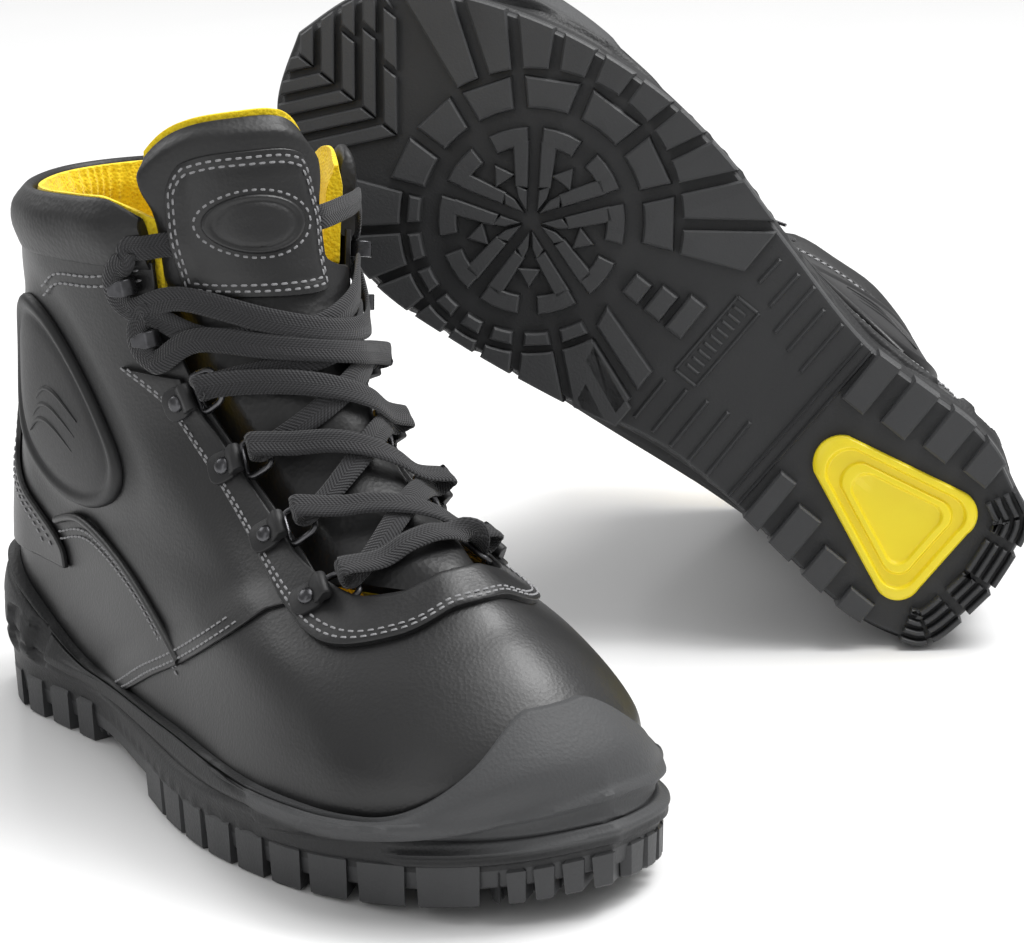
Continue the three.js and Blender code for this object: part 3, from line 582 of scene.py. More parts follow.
def hook_turn(fitting, sign):
    """Flat half turn of the lace round a hook's stem, from its upper side to its lower side."""
    level = HOOK_LIFT + HOOK_METAL + 0.35 + LACE_THICKNESS / 2
    stem = fitting.origin + fitting.inward * HOOK_STEM + fitting.normal * level
    upward = fitting.along * np.sign(fitting.along[2])
    radius = HOOK_WIDTH / 2 + LACE_WIDTH / 2 + 1.5
    stations = []
    for angle in np.linspace(0, math.pi, 7):
        point = stem + upward * radius * math.cos(angle) - fitting.inward * radius * math.sin(angle)
        stations.append((point, fitting.normal * sign))
    return stations


def nearest_on_face(point):
    """Angle and height of the face's point that is nearest to a point in front of the shaft."""
    best = (math.pi, 0.6)
    step = 0.4
    while step > 0.001:
        tries = [(best[0] + i * step, min(max(best[1] + j * step / 2, 0), 1))
                 for i in (-1, 0, 1) for j in (-1, 0, 1)]
        best = min(tries, key=lambda place: np.linalg.norm(face(*place) - point))
        step /= 1.6
    return best


def strand_station(start, end, share, lift, sign):
    """Point of a strand over the tongue, in the upright plane through its two fittings."""
    (start_theta, start_t), (end_theta, end_t) = nearest_on_face(start), nearest_on_face(end)
    out = face_normal(start_theta, start_t) + face_normal(end_theta, end_t)
    rise = np.cross(end - start, out)
    rise = rise * np.sign(rise[2])
    theta = mix(start_theta, end_theta, share)
    low, high = min(start_t, end_t) - 0.1, max(start_t, end_t) + 0.15
    for _ in range(20):
        middle = (low + high) / 2
        if (face(theta, middle) - start).dot(rise) < 0:
            low = middle
        else:
            high = middle
    return lifted(theta, low, lift), face_normal(theta, low) * sign


def strand(before, after, over, sign):
    """Stations of the lace between two fittings, bowed over or under the strand it crosses."""
    middle = 2.0 if over else 0.0
    start, end = before.start(), after.start()
    return [strand_station(start, end, share, middle + 1.6 * (2 * share - 1) ** 2, sign)
            for share in (0.1, 0.3, 0.5, 0.7, 0.9)]


def lowest_strand(before, after):
    """The straight strand between the lowest rings turns over once near its inner end."""
    start, end = before.start(), after.start()
    stations = [strand_station(start, end, share, 1.8, 1) for share in (0.12, 0.3, 0.5, 0.7, 0.88)]
    point, normal = stations[0]
    along = unit(after.origin - before.origin)
    stations[0] = (point + normal * 2.5, unit(np.cross(normal, along)))
    return stations


def lace_stations():
    """The lace from one tucked end down to the lowest rings and up to the other tucked end."""
    order = [(1, 5), (-1, 4), (1, 3), (-1, 2), (1, 1), (-1, 0),
             (1, 0), (-1, 1), (1, 2), (-1, 3), (1, 4), (-1, 5)]
    visits = [next(f for f in FITTINGS if (f.side, f.level) == key) for key in order]
    tucked_outer = [(0.8, 0.826, -2.4), (0.9, 0.8255, -0.9), (0.99, 0.823, 1.5), (1.08, 0.82, 1.9)]
    tucked_inner = [(0.0, 0.85, -2.4), (0.1, 0.851, -1.7), (0.22, 0.852, -0.4), (0.6, 0.853, -0.1),
                    (0.95, 0.845, 1.7)]

    def is_over(a, b):
        return a.level > b.level if a.side > 0 else b.level > a.level

    def tail(side, sign, tucked):
        return [(lifted(front_angle(side, angle), t, lift),
                 face_normal(front_angle(side, angle), t) * sign) for angle, t, lift in tucked]

    stations = tail(1, -1, tucked_outer)
    for i, visit in enumerate(visits):
        going_down = i < len(visits) / 2
        before = visits[i - 1]
        if visit.hook:
            turn = hook_turn(visit, -1 if going_down else 1)
            stations += turn if going_down else turn[::-1]
        else:
            lowest = before.level == 0 and visit.level == 0
            turn = ring_turn(visit)
            stations += turn if lowest or is_over(before, visit) else turn[::-1]
        if i + 1 == len(visits):
            break
        after = visits[i + 1]
        if visit.level == 0 and after.level == 0:
            stations += lowest_strand(visit, after)
            continue
        over = is_over(visit, after)
        sign = 1 if over else -1
        if visit.hook and after.hook:
            sign = -1 if going_down else 1
        stations += strand(visit, after, over, sign)
    return stations + tail(-1, 1, tucked_inner)[::-1]


def spline(rows, parts):
    """Smooth line through rows of numbers, with even parts between neighbours."""
    rows = np.asarray(rows, float)
    return through(rows, np.linspace(0, 1, (len(rows) - 1) * parts + 1))


def lace():
    """Flat woven ribbon with rounded edges that follows the lace's stations."""
    stations = lace_stations()
    centre = spline([p for p, _ in stations], 6)
    up = unit(spline([n for _, n in stations], 6))
    ahead = unit(np.gradient(centre, axis=0))
    across = unit(np.cross(ahead, up))
    up = np.cross(across, ahead)
    length = np.concatenate([[0], np.cumsum(np.linalg.norm(np.diff(centre, axis=0), axis=1))])
    half, thick = LACE_WIDTH / 2, LACE_THICKNESS / 2 + 0.1
    section = [(1, 0), (0.9, 0.75), (0.55, 1), (0, 0.85), (-0.55, 1), (-0.9, 0.75),
               (-1, 0), (-0.9, -0.75), (-0.55, -1), (0, -0.85), (0.55, -1), (0.9, -0.75)]
    count = len(section)
    points = np.stack([centre + across * half * a + up * thick * b for a, b in section], 1)
    faces = grid_faces(count, len(centre) - 1, wrap=True)
    faces.append(list(range(count))[::-1])
    faces.append([len(points) * count - count + i for i in range(count)])
    cloth = np.stack([np.repeat(length[:, None], count, 1),
                      np.broadcast_to([half * a for a, _ in section], (len(centre), count))], -1)
    return Draft().add(points.reshape(-1, 3), faces, cloth.reshape(-1, 2))


def ring_path():
    """Rounded rectangle of a ring's wire, its straight inner bar in the clip."""
    half, reach, corner = RING_WIDTH / 2, RING_REACH, 2.4
    corners = [(0, -half), (reach, -half + 1), (reach, half - 1), (0, half)]
    corners = [np.array([BAR_PLACE + x, y, 0.0]) for x, y in corners]
    path = []
    for i, point in enumerate(corners):
        before, after = corners[i - 1], corners[(i + 1) % 4]
        enter = point + unit(before - point) * corner
        leave = point + unit(after - point) * corner
        for share in np.linspace(0, 1, 7):
            path.append(mix(mix(enter, point, share), mix(point, leave, share), share))
    places = evenly(np.array(path + path[:1]), 1.0)[:-1]
    return sample(path + path[:1], places)


def ring():
    return tube(ring_path(), RING_WIRE, sides=12, closed=True)


def rounded_box(low, high, radius, steps=4):
    """Upright plate with rounded corners between two corners, its top edge softened."""
    (x0, y0, z0), (x1, y1, z1) = low, high
    outline = []
    for (x, y), start in (((x1 - radius, y1 - radius), 0), ((x0 + radius, y1 - radius), 1),
                          ((x0 + radius, y0 + radius), 2), ((x1 - radius, y0 + radius), 3)):
        for k in range(steps + 1):
            angle = (start + k / steps) * math.pi / 2
            outline.append([x + radius * math.cos(angle), y + radius * math.sin(angle)])
    soft = min(0.5, (z1 - z0) / 2)
    rings = [(outline, z0), (outline, z1 - soft), (inset(outline, soft * 0.35), z1 - soft * 0.3),
             (inset(outline, soft), z1)]
    points = np.concatenate([np.column_stack([o, np.full(len(o), z)]) for o, z in rings])
    count = len(outline)
    faces = [list(range(count))[::-1]] + grid_faces(count, len(rings) - 1, wrap=True)
    faces.append([3 * count + i for i in range(count)])
    return Draft().add(points, faces)


def clip_tab():
    """Leather tab that folds over a ring's bar and is riveted to the eyestay."""
    draft = rounded_box((-5.6, -5, 1.2), (4.4, 5, EYESTAY_TOP + 1.5), 3.6)
    fold = []
    for angle in np.linspace(-0.6, math.pi + 0.5, 12):
        fold.append([BAR_PLACE + 2.1 * math.sin(angle), RING_LIFT + 2.1 * math.cos(angle)])
    outer = np.array([[1.5, EYESTAY_TOP + 1.7]] + fold[1:] + [[1.5, EYESTAY_TOP - 0.4]])
    half = 4.2
    points = np.concatenate([np.column_stack([outer[:, 0], np.full(len(outer), y), outer[:, 1]])
                             for y in (-half, -half + 0.5, half - 0.5, half)])
    points[:len(outer), [0, 2]] = mix(points[:len(outer), [0, 2]], outer.mean(0), 0.12)
    points[-len(outer):, [0, 2]] = mix(points[-len(outer):, [0, 2]], outer.mean(0), 0.12)
    count = len(outer)
    faces = grid_faces(count, 3, wrap=True)
    faces.append(list(range(count))[::-1])
    faces.append([3 * count + i for i in range(count)])
    return draft.add(points, faces)


def rivet(radius=2.7, height=1.5):
    """Domed rivet head on a thin flange."""
    profile = [(radius, 0), (radius, 0.35)]
    for angle in np.linspace(0.15, math.pi / 2 - 0.12, 6):
        profile.append((radius * math.cos(angle) * 0.98, 0.35 + height * math.sin(angle)))
    profile.append((0, 0.35 + height))
    return lathe(profile, 24)


def hook():
    """Speed hook bent from strip: foot plate, riser and turned-back lip."""
    foot, lip, metal = 4.5, 6, HOOK_METAL
    outer = [(-foot, 0), (foot - 1, 0)]
    inner = [(-foot, metal), (foot - metal - 1, metal)]
    radius = (HOOK_RISE + metal) / 2
    for share in np.linspace(0, 1, 9):
        angle = -math.pi / 2 + share * math.pi
        outer.append((foot - 1 + radius * 0.75 * math.cos(angle), radius + radius * math.sin(angle)))
        inner.append((foot - 1 - metal * 0.6 + (radius - metal) * 0.75 * math.cos(angle),
                      radius + (radius - metal) * math.sin(angle)))
    outer.append((foot - lip, HOOK_RISE + metal))
    inner.append((foot - lip, HOOK_RISE))
    outer, inner = np.array(outer), np.array(inner)
    points = []
    ends = np.ones(len(outer))
    ends[0] = ends[-1] = 0.55
    for rail in (outer, inner):
        for sign in (-1, 1):
            widths = ends * sign * HOOK_WIDTH / 2 * 1.25
            points.append(np.column_stack([rail[:, 0], widths, rail[:, 1]]))
    n = len(outer)
    a, b, c, d = 0, n, 2 * n, 3 * n
    faces = []
    for i in range(n - 1):
        faces += [[a + i, a + i + 1, b + i + 1, b + i], [d + i, d + i + 1, c + i + 1, c + i],
                  [c + i, c + i + 1, a + i + 1, a + i], [b + i, b + i + 1, d + i + 1, d + i]]
    faces += [[a, b, d, c], [a + n - 1, c + n - 1, d + n - 1, b + n - 1]]
    return Draft().add(np.concatenate(points), faces)


# The upper

def vamp():
    """Leather over the toe, creased a little where the foot bends."""
    def place(u, v):
        across = 2 * u - 1
        t = v * (0.405 - 0.085 * across * across)
        return toe_turn(across, seam_angle(t) + 0.02), t

    def outer(theta, t, u, v):
        toe = np.abs(theta - math.pi)
        crease = 0.35 * np.sin(t * 95 + 5 * np.cos(theta * 3)) * smooth(t, 0.24, 0.34) * bump(toe, 0, 0.9)
        return crease * smooth(1 - v, 0, 0.1) - 0.3 * bump(v, 1, 0.02)

    return shell(place, 150, 90, outer, -LEATHER)


def quarter_lap(theta, t):
    """How far the quarter stands over the vamp: most at its front edge."""
    toe = math.pi - np.abs(theta)
    return 1.25 * (1 - smooth(toe - seam_angle(t), 0.0, 0.2)) * (1 - smooth(t, 0.3, 0.36))


def quarter(side):
    """One side of the shaft; its front edge laps over the vamp."""
    def place(u, v):
        t = 0.8 * v
        front = mix(seam_angle(t) - 0.045, throat_angle(t), smooth(t, 0.3, 0.36))
        share = mix(0, share_of_turn(math.pi - front), u if side > 0 else 1 - u)
        return side * turn_at(share), t

    def outer(theta, t, u, v):
        back = bump(theta, 0, 0.05) * 0.5
        from_guard = np.hypot((np.abs(theta) - GUARD_TURN) / 0.41, (t - GUARD_HEIGHT) / 0.205)
        fold = np.sin(np.abs(theta) * 9 + t * 26) * bump(t, 0.42, 0.12) * smooth(np.abs(theta), 1.6, 2.1)
        return quarter_lap(theta, t) + back - 0.8 * bump(from_guard, 1.05, 0.16) + 0.3 * fold

    def inner(theta, t, u, v):
        lap = quarter_lap(theta, t) * (1 - smooth(math.pi - np.abs(theta) - seam_angle(t), 0.0, 0.03))
        return mix(-LEATHER, 0.03, lap / 1.25)

    return shell(place, 110, 90, outer, inner)


def heel_counter():
    """Stiff leather panel round the back of the heel."""
    def place(u, v):
        t = 0.195 + 0.29 * v
        return heel_turn(2 * u - 1, counter_angle(t)), t

    return shell(place, 96, 40, 2.2, 0.1)


def back_strap():
    """Padded strip up the back of the heel, from the counter to the collar."""
    def place(u, v):
        return (2 * u - 1) * (0.5 + 0.22 * v), 0.475 + 0.33 * v

    def outer(theta, t, u, v):
        return 1.7 + 0.8 * np.sin(math.pi * u) ** 0.5

    return shell(place, 40, 30, outer, 0.05)


def piping():
    """Raised cord round the front of the heel panel, on both sides."""
    draft = Draft()
    share = np.linspace(0, 1, 60)
    for side in (1, -1):
        theta = side * through([1.0, 1.19, 1.42, 1.66], share)
        t = through([0.285, 0.31, 0.255, 0.15], share)
        draft.join(tube(lifted(theta, t, 0.9), 1.35, 8, normal=(1, 0.2, 0)))
    return draft


def ankle_disc(side):
    """Round moulded ankle guard: a raised rim, a groove inside it and a shallow dome."""
    profile = [(0.12, 2.6), (0.3, 2.5), (0.5, 2.3), (0.7, 1.9), (0.8, 1.6), (0.84, 1.2), (0.87, 1.1),
               (0.9, 1.7), (0.93, 2.2), (0.97, 2.3), (1.0, 1.8), (1.02, 0.8), (1.02, -0.2)]
    steps = 96
    points = [lifted(side * GUARD_TURN, GUARD_HEIGHT, 2.6)]
    angle = np.arange(steps) * 2 * math.pi / steps
    for reach, lift in profile:
        theta = side * (GUARD_TURN + GUARD_REACH[0] * reach * np.cos(angle))
        t = GUARD_HEIGHT + GUARD_REACH[1] * reach * np.sin(angle)
        points.extend(lifted(theta, t, lift))
    faces = []
    for k in range(steps):
        fan = [0, 1 + k, 1 + (k + 1) % steps]
        faces.append(fan if side > 0 else fan[::-1])
    faces += grid_faces(steps, len(profile) - 1, start=1, wrap=True, flip=side > 0)
    return Draft().add(points, faces)


def ankle_ribs(side):
    """Three moulded ribs that sweep over the ankle guard."""
    draft = Draft()
    share = np.linspace(0, 1, 24)
    for k in range(3):
        theta = side * (0.97 + 0.06 * k + 0.3 * share)
        t = 0.46 + 0.035 * k + 0.07 * np.sin(share * 2.4) - 0.05 * share
        radius = 0.9 * np.sqrt(np.sin(math.pi * np.clip(share, 0.02, 0.98)))
        draft.join(tube(lifted(theta, t, 2.25), radius, 8, normal=(side, 0, 0.3)))
    return draft


def rolled(angles, section):
    """Padded roll along the collar: section(theta) lists [t, lift] round the roll, closed."""
    rows = []
    for theta in angles:
        loop = section(theta)
        loop = through(loop + [loop[0]], np.linspace(0, 1, 29))[:-1]
        rows.append(lifted(np.full(len(loop), theta), loop[:, 0], loop[:, 1]))
    count = len(rows[0])
    faces = grid_faces(count, len(rows) - 1, wrap=True, flip=True)
    faces.append(list(range(count)))
    faces.append([(len(rows) - 1) * count + i for i in range(count)][::-1])
    return Draft().add(np.concatenate(rows), faces)


def collar():
    """Padded collar, puffed between its lower seam and the rim."""
    def section(theta):
        low, top = COLLAR_SEAM, collar_top(theta)
        full = 1 - smooth(abs(theta), 1.95, COLLAR_END)
        puff = 0.9 + 2.4 * full + 0.25 * math.sin(theta * 14) * full
        return [[low - 0.01, 0.4], [low, 1.3], [mix(low, top, 0.35), puff], [mix(low, top, 0.7), puff * 0.95],
                [top - 0.004, 0.9], [top + 0.008, -1.2], [top - 0.002, -3.4], [mix(low, top, 0.6), -3.9],
                [low, -3.6], [low - 0.01, -2]]

    return rolled(heel_turn(np.linspace(-1, 1, 90), COLLAR_END), section)


def lining():
    """Yellow lining, cushioned round the mouth and thin in the foot. Below the hooks its front
    edge stops behind the eyestay."""
    def place(u, v):
        top = collar_top(2.2 * (2 * u - 1)) + 0.006
        t = mix(0.02, top, v)
        tucked = 0.34 * (1 - smooth(t, 0.7, 0.76))
        open_angle = mix(0.02, throat_angle(t) - 0.02 + tucked, smooth(t, 0.24, 0.3))
        return heel_turn(2 * u - 1, math.pi - open_angle), t

    def outer(theta, t, u, v):
        toe = smooth(face(theta, t)[..., 1], 215, 232) * (1 - smooth(t, 0.36, 0.4))
        return -3.6 - 3 * toe - 1.2 * smooth(v, 0.96, 1)

    def inner(theta, t, u, v):
        pad = mix(1.4, 5.2, smooth(t, 0.35, 0.6)) * (1 - 0.75 * smooth(v, 0.94, 1) ** 2)
        ribs = 0.35 * np.sin(u * 130) * smooth(t, 0.55, 0.6)
        return outer(theta, t, u, v) - pad - ribs

    return shell(place, 150, 80, outer, inner)


def tongue_wave(theta, t):
    """Soft folds of the tongue between the crossing laces."""
    across = np.abs(theta - math.pi)
    fold = 0.9 * np.sin((t - 0.4) * 62 + 0.6 * np.cos(across * 3)) + 0.5 * np.sin((t - 0.4) * 31 + 1.2)
    return fold * (1 - smooth(t, 0.7, 0.77)) * bump(across, 0, 0.75)


def tongue_outer(theta, t, u, v):
    """Lift of the tongue's face: folded, bent back under the eyestay, rolled at top and sides."""
    edge = throat_angle(t) + 0.1 * smooth(t, 0.74, 0.78)
    beyond = smooth(np.abs(theta - math.pi), edge - 0.2, edge + 0.02)
    lift = mix(TONGUE_FACE + tongue_wave(theta, t), TONGUE_BACK, beyond * (1 - smooth(t, 0.84, 0.9)))
    roll = smooth(v, 0.86, 0.95) * 1.8 - 4.5 * smooth(v, 0.95, 1) ** 2
    sides = 4 * smooth(np.abs(u - 0.5), 0.45, 0.5) ** 2 * smooth(t, 0.75, 0.8)
    return lift + roll - sides


def tongue_place(u, v):
    """The tongue fills the throat below and leans towards the outer side above the hooks."""
    across = 2 * u - 1
    top = 0.985 - 0.055 * np.abs(across) ** 3.5
    t = mix(0.375, top, v)
    edge = throat_angle(t) + 0.12 - 0.08 * smooth(t, 0.66, 0.74)
    outer = edge + 0.06 * smooth(t, 0.87, 0.93)
    inner = mix(edge, 0.26, smooth(t, 0.74, 0.8))
    return math.pi + mix(-outer, inner, u), t


def tongue():
    """Padded tongue."""
    def inner(theta, t, u, v):
        return np.minimum(tongue_outer(theta, t, u, v) - 1.2, -7.5 - 0.5 * smooth(v, 0.9, 1))

    return shell(tongue_place, 100, 110, tongue_outer, inner)


def tongue_lining():
    """Yellow back of the tongue; its rim stands just above the black face."""
    def place(u, v):
        margin = mix(0.14, 0.02, smooth(v, 0.56, 0.66))
        theta, t = tongue_place(mix(margin, 1 - margin, u), v)
        return theta, np.minimum(t + 0.012 * smooth(v, 0.9, 1), 1)

    def outer(theta, t, u, v):
        return -8.0 + 1.0 * smooth(v, 0.93, 1)

    def inner(theta, t, u, v):
        return -11.6 + 2.2 * smooth(v, 0.93, 1)

    return shell(place, 60, 60, outer, inner)


def patch_place(u, v, margin=0.0):
    """The badge patch: sides that lean in towards a rounded top."""
    across, up = 2 * u - 1, 2 * v - 1
    rounding = 0.10 * np.clip(up, 0, 1) ** 3 * across ** 4 + 0.03 * np.clip(-up, 0, 1) ** 4 * across ** 6
    t = PATCH_HEIGHT + (0.093 - margin) * up * (1 - rounding)
    heights, outer, inner = zip(*PATCH_SIDES)
    outer, inner = np.interp(t, heights, outer), np.interp(t, heights, inner)
    half = (inner - outer) / 2 - margin * 3.5
    return math.pi + (outer + inner) / 2 + across * half * (1 - 0.1 * np.clip(up, 0, 1) ** 6), t


def patch_drop(theta, t):
    """The patch bends back towards its sides and rises over the two tucked ends of the lace."""
    back = 1.3 * smooth(np.abs(theta - math.pi - PATCH_MIDDLE), 0.3, 0.55) ** 1.5
    over_lace = (bump(theta, math.pi - 0.88, 0.12) * bump(t, 0.826, 0.03)
                 + bump(theta, math.pi + 0.15, 0.12) * bump(t, 0.851, 0.03))
    return 1.2 * over_lace - back


def tongue_patch():
    """Leather patch with a thinned edge and a shallow gutter where it is sewn down."""
    def lift(theta, t, u, v):
        side, end = np.minimum(u, 1 - u), np.minimum(v, 1 - v)
        edge = 1 - smooth(np.minimum(side, end), 0, 0.05)
        gutter = bump(np.minimum(side, end * 0.8), 0.075, 0.03)
        return PATCH_TOP - 0.5 * edge - 0.3 * gutter + patch_drop(theta, t)

    def under(theta, t, u, v):
        return lift(theta, t, u, v) - 2.2

    return shell(patch_place, 72, 60, lift, under)


def patch_seam():
    """Double border of light stitches round the patch."""
    draft = Draft()
    side = np.linspace(0, 1, 60)
    u = np.concatenate([np.zeros(60), side, np.ones(60), 1 - side])
    v = np.concatenate([1 - side, np.zeros(60), side, np.ones(60)])
    for margin in (0.007, 0.0145):
        theta, t = patch_place(u, v, margin)
        draft.join(seam(theta, t, PATCH_TOP - 0.02 + patch_drop(theta, t)))
    return draft


def badge_point(reach, angle):
    """Point of the oval badge at a share of its reach."""
    theta = math.pi + PATCH_MIDDLE + 0.32 * reach * np.cos(angle)
    return theta, BADGE_HEIGHT + 0.04 * reach * np.sin(angle)


def badge():
    """Blank raised oval with a soft rim."""
    steps = 64
    angle = np.arange(steps) * 2 * math.pi / steps
    points = [lifted(math.pi + PATCH_MIDDLE, BADGE_HEIGHT, PATCH_TOP + 1.5)]
    profile = [(0.3, 1.5), (0.6, 1.4), (0.74, 1.1), (0.8, 0.7), (0.85, 0.8), (0.92, 1.2), (0.97, 1.1),
               (1.02, 0.5), (1.05, -0.4)]
    for reach, lift in profile:
        theta, t = badge_point(reach, angle)
        points.extend(lifted(theta, t, PATCH_TOP + lift + patch_drop(theta, t)))
    faces = [[0, 1 + (k + 1) % steps, 1 + k][::-1] for k in range(steps)]
    faces += grid_faces(steps, len(profile) - 1, start=1, wrap=True, flip=True)
    return Draft().add(points, faces)


def badge_seam():
    """Stitches round the badge."""
    theta, t = badge_point(1.16, np.linspace(0, 2 * math.pi, 80))
    return seam(theta, t, PATCH_TOP + 0.08 + patch_drop(theta, t), pitch=2.6, length=1.9)


def eyestay_place(u, v):
    """Angle and height on the eyestay: u along it from end to end, v from outside to inside."""
    s = np.abs(2 * u - 1)
    outside, inside = np.array(EYESTAY_OUTSIDE, float), np.array(EYESTAY_INSIDE, float)
    t = mix(through(outside[:, 0], 1 - s), through(inside[:, 0], 1 - s), v)
    angle = mix(through(outside[:, 1], 1 - s), through(inside[:, 1], 1 - s), v)
    return math.pi + np.sign(2 * u - 1) * angle, t


def eyestay():
    """Facing round the throat that carries the rings."""
    def outer(theta, t, u, v):
        edge = np.minimum(v, 1 - v)
        return EYESTAY_TOP - 0.5 * bump(edge, 0, 0.03) + 0.2 * np.sin(u * 60) * np.sin(v * 3)

    return shell(eyestay_place, 220, 16, outer, 0.0)


def eyestay_seam():
    """Double seam along the eyestay's outer edge."""
    draft = Draft()
    u = np.linspace(0, 1, 500)
    for v in (0.09, 0.2):
        theta, t = eyestay_place(u, np.full(500, v))
        draft.join(seam(theta, t, EYESTAY_TOP + 0.15))
    return draft


def shaft_seams():
    """Light double seams: vamp to quarter, counter, heel panel and collar."""
    draft = Draft()
    for side in (1, -1):
        t = np.linspace(0.03, 0.275, 160)
        for shift in (0.0, 0.045):
            theta = side * (math.pi - seam_angle(t) - shift + 0.02)
            draft.join(seam(theta, t, quarter_lap(theta, t) + 0.18))
        t = np.linspace(0.235, 0.47, 120)
        for shift in (0.06, 0.12):
            draft.join(seam(side * (counter_angle(t) - shift), t, 2.38))
        share = np.linspace(0, 1, 160)
        for shift in (0, 0.014):
            theta = side * through([1.0, 1.19, 1.42, 1.64], share)
            t = through([0.262, 0.286, 0.232, 0.13], share) - shift
            draft.join(seam(theta, t, 0.3))
            theta = side * through([1.36, 1.5, 1.78, 2.1], share)
            t = through([0.742, 0.765, 0.772, 0.79], share) - shift
            draft.join(seam(theta, t, 0.3))
    return draft


# The sole unit

def loop_angles(steps):
    """Angles all the way round, from the heel over the outer side and back over the inner one."""
    s = np.linspace(0, 1, steps + 1)
    return np.concatenate([turn_at(s), -turn_at(s[1:-1])[::-1]])


def sole_loop(spread, height, steps=90):
    """Closed line along the tread's edge, moved out by spread."""
    s = np.linspace(0, 1, steps + 1)
    spreads = np.full(len(s), float(spread))
    outer = sole_edge(s, 1, spreads)
    inner = sole_edge(s[1:-1], -1, spreads[1:-1])[::-1]
    loop = np.concatenate([outer, inner])
    return np.column_stack([loop, height + spring(loop[:, 1])])


def face_loop(t, spread, drop=0.0, steps=90):
    """Closed line round the upper at t, moved out level by spread and down by drop."""
    theta = loop_angles(steps)
    at = t(theta) if callable(t) else np.full(len(theta), float(t))
    level = face_normal(theta, at)
    level[:, 2] = 0
    points = face(theta, at) + unit(level) * np.asarray(spread, float).reshape(-1, 1)
    points[:, 2] -= drop
    return points


def closing_faces(count, last):
    """Strips across the first loop of a sole-shaped piece, and across the one that starts at last."""
    faces = []
    for i in range(count // 2):
        strip = list(dict.fromkeys([i, i + 1, (count - i - 1) % count, (count - i) % count]))
        faces.append(strip[::-1])
        faces.append([last + k for k in strip])
    return faces


def wall_detail(theta, v, points):
    """How far the midsole's wall stands out: grooves, heel windows, toe guard and bumper."""
    y, z = points[..., 1], points[..., 2]
    toe = np.abs(np.abs(theta) - math.pi)
    out = np.zeros(v.shape)
    out -= 1.2 * bump(v, 0.9, 0.018) * smooth(toe, 0.45, 0.75)
    out -= 1.3 * bump(v, 0.36, 0.02) * smooth(y, 60, 95)
    out += 0.9 * bump(v, 0.97, 0.03) * smooth(toe, 0.45, 0.75)
    heel_line = 19 + 9 * bump(y, 30, 26)
    out -= 0.9 * bump(z, heel_line, 0.9) * (1 - smooth(y, 84, 96))
    for centre in (21, 37, 53):
        beside = np.abs(y - centre) / 5.6
        above = np.abs(z - 32 + 0.08 * centre) / 8.5
        out -= 2.0 * smooth(1 - (beside ** 4 + above ** 4) ** 0.25, 0.02, 0.2)
    guard = smooth(y, 216, 222)
    out += 0.8 * guard * smooth(v, 0.1, 0.16)
    ridge = 21 + 0.075 * (y - 230)
    out += 1.9 * bump(z - spring(y), ridge, 1.6) * guard
    for height in (13.2, 16.2):
        out += 1.1 * bump(z - spring(y), height, 0.8) * smooth(y, 262, 270)
    ribs = bump(np.mod(y / 8.5, 1), 0.5, 0.22) * bump(v, 0.14, 0.07)
    out += 0.7 * ribs * smooth(y, 92, 100) * (1 - guard)
    wave = 15 + 3.5 * np.sin((y - 96) / 30) + 0.03 * y
    out -= 0.8 * bump(z - spring(y), wave + 8, 0.9) * smooth(y, 92, 104) * (1 - guard)
    return out


def midsole():
    """Moulded foam wall from the tread up to the leather, with its inside ledge."""
    steps, rows = 260, 56
    count = 2 * steps
    base = PLATE_TOP + 0.35
    theta = loop_angles(steps)
    heel = np.where(theta >= 0, 1 - smooth(theta, 0.5, 1.3), 1 - smooth(-theta, 0.15, 0.5))
    toe = 1 - smooth(math.pi - np.abs(theta), 0.5, 1.0)
    low = face_loop(lambda a: 0.1 * midsole_top(a), 0, 0, steps)[:, :2]
    rim = sole_loop(0, base, 400)[:, :2]
    gap = np.linalg.norm(low[:, None] - rim[None], axis=2).min(1)
    bulge = np.maximum(SOLE_WALL + 7.5 * heel, 0.9 * gap * toe)
    controls = [sole_loop(0.1, base, steps), sole_loop(1.0, base + 6.5, steps),
                face_loop(lambda a: 0.1 * midsole_top(a), bulge, 0, steps),
                face_loop(lambda a: 0.6 * midsole_top(a), SOLE_WALL + 3.5 * heel + 1.2 * toe, 0, steps),
                face_loop(midsole_top, SOLE_WALL * 0.75 + 0.6 * heel - 1.2 * toe, 0, steps)]
    v = np.linspace(0, 1, rows + 1)
    wall = through(np.array(controls).reshape(len(controls), -1), v).reshape(rows + 1, count, 3)
    theta_grid = np.broadcast_to(theta, (rows + 1, count))
    v_grid = np.repeat(v[:, None], count, 1)
    along = np.roll(wall, -1, 1) - np.roll(wall, 1, 1)
    up = np.gradient(wall, axis=0)
    outward = unit(np.cross(along, up))
    wall = wall + outward * wall_detail(theta_grid, v_grid, wall)[..., None]
    lip = [face_loop(lambda a: midsole_top(a) + 0.004, SOLE_WALL * 0.5, 0, steps),
           face_loop(lambda a: midsole_top(a) + 0.004, 0.2, 0, steps),
           face_loop(lambda a: midsole_top(a) * 0.9, -0.4, 0, steps), face_loop(0, -0.4, 0, steps),
           face_loop(0, -3, 3.4, steps)]
    layers = np.concatenate([wall, np.array(lip)])
    faces = grid_faces(count, len(layers) - 1, wrap=True) + closing_faces(count, (len(layers) - 1) * count)
    arc = np.concatenate([[0], np.cumsum(np.linalg.norm(np.diff(wall[20], axis=0), axis=1))])
    cloth = np.stack([np.broadcast_to(arc, (len(layers), count)),
                      np.repeat(layers[..., 2].mean(1)[:, None], count, 1)], -1)
    # Painted highlight: the toe guard's upper face, where the light falls, is given a lighter colour (and a little
    # more roughness) through this mask.
    guard = smooth(layers[..., 1], 214, 222) * smooth(layers[..., 2], 21, 25)
    return Draft().add(layers.reshape(-1, 3), faces, cloth.reshape(-1, 2), guard)


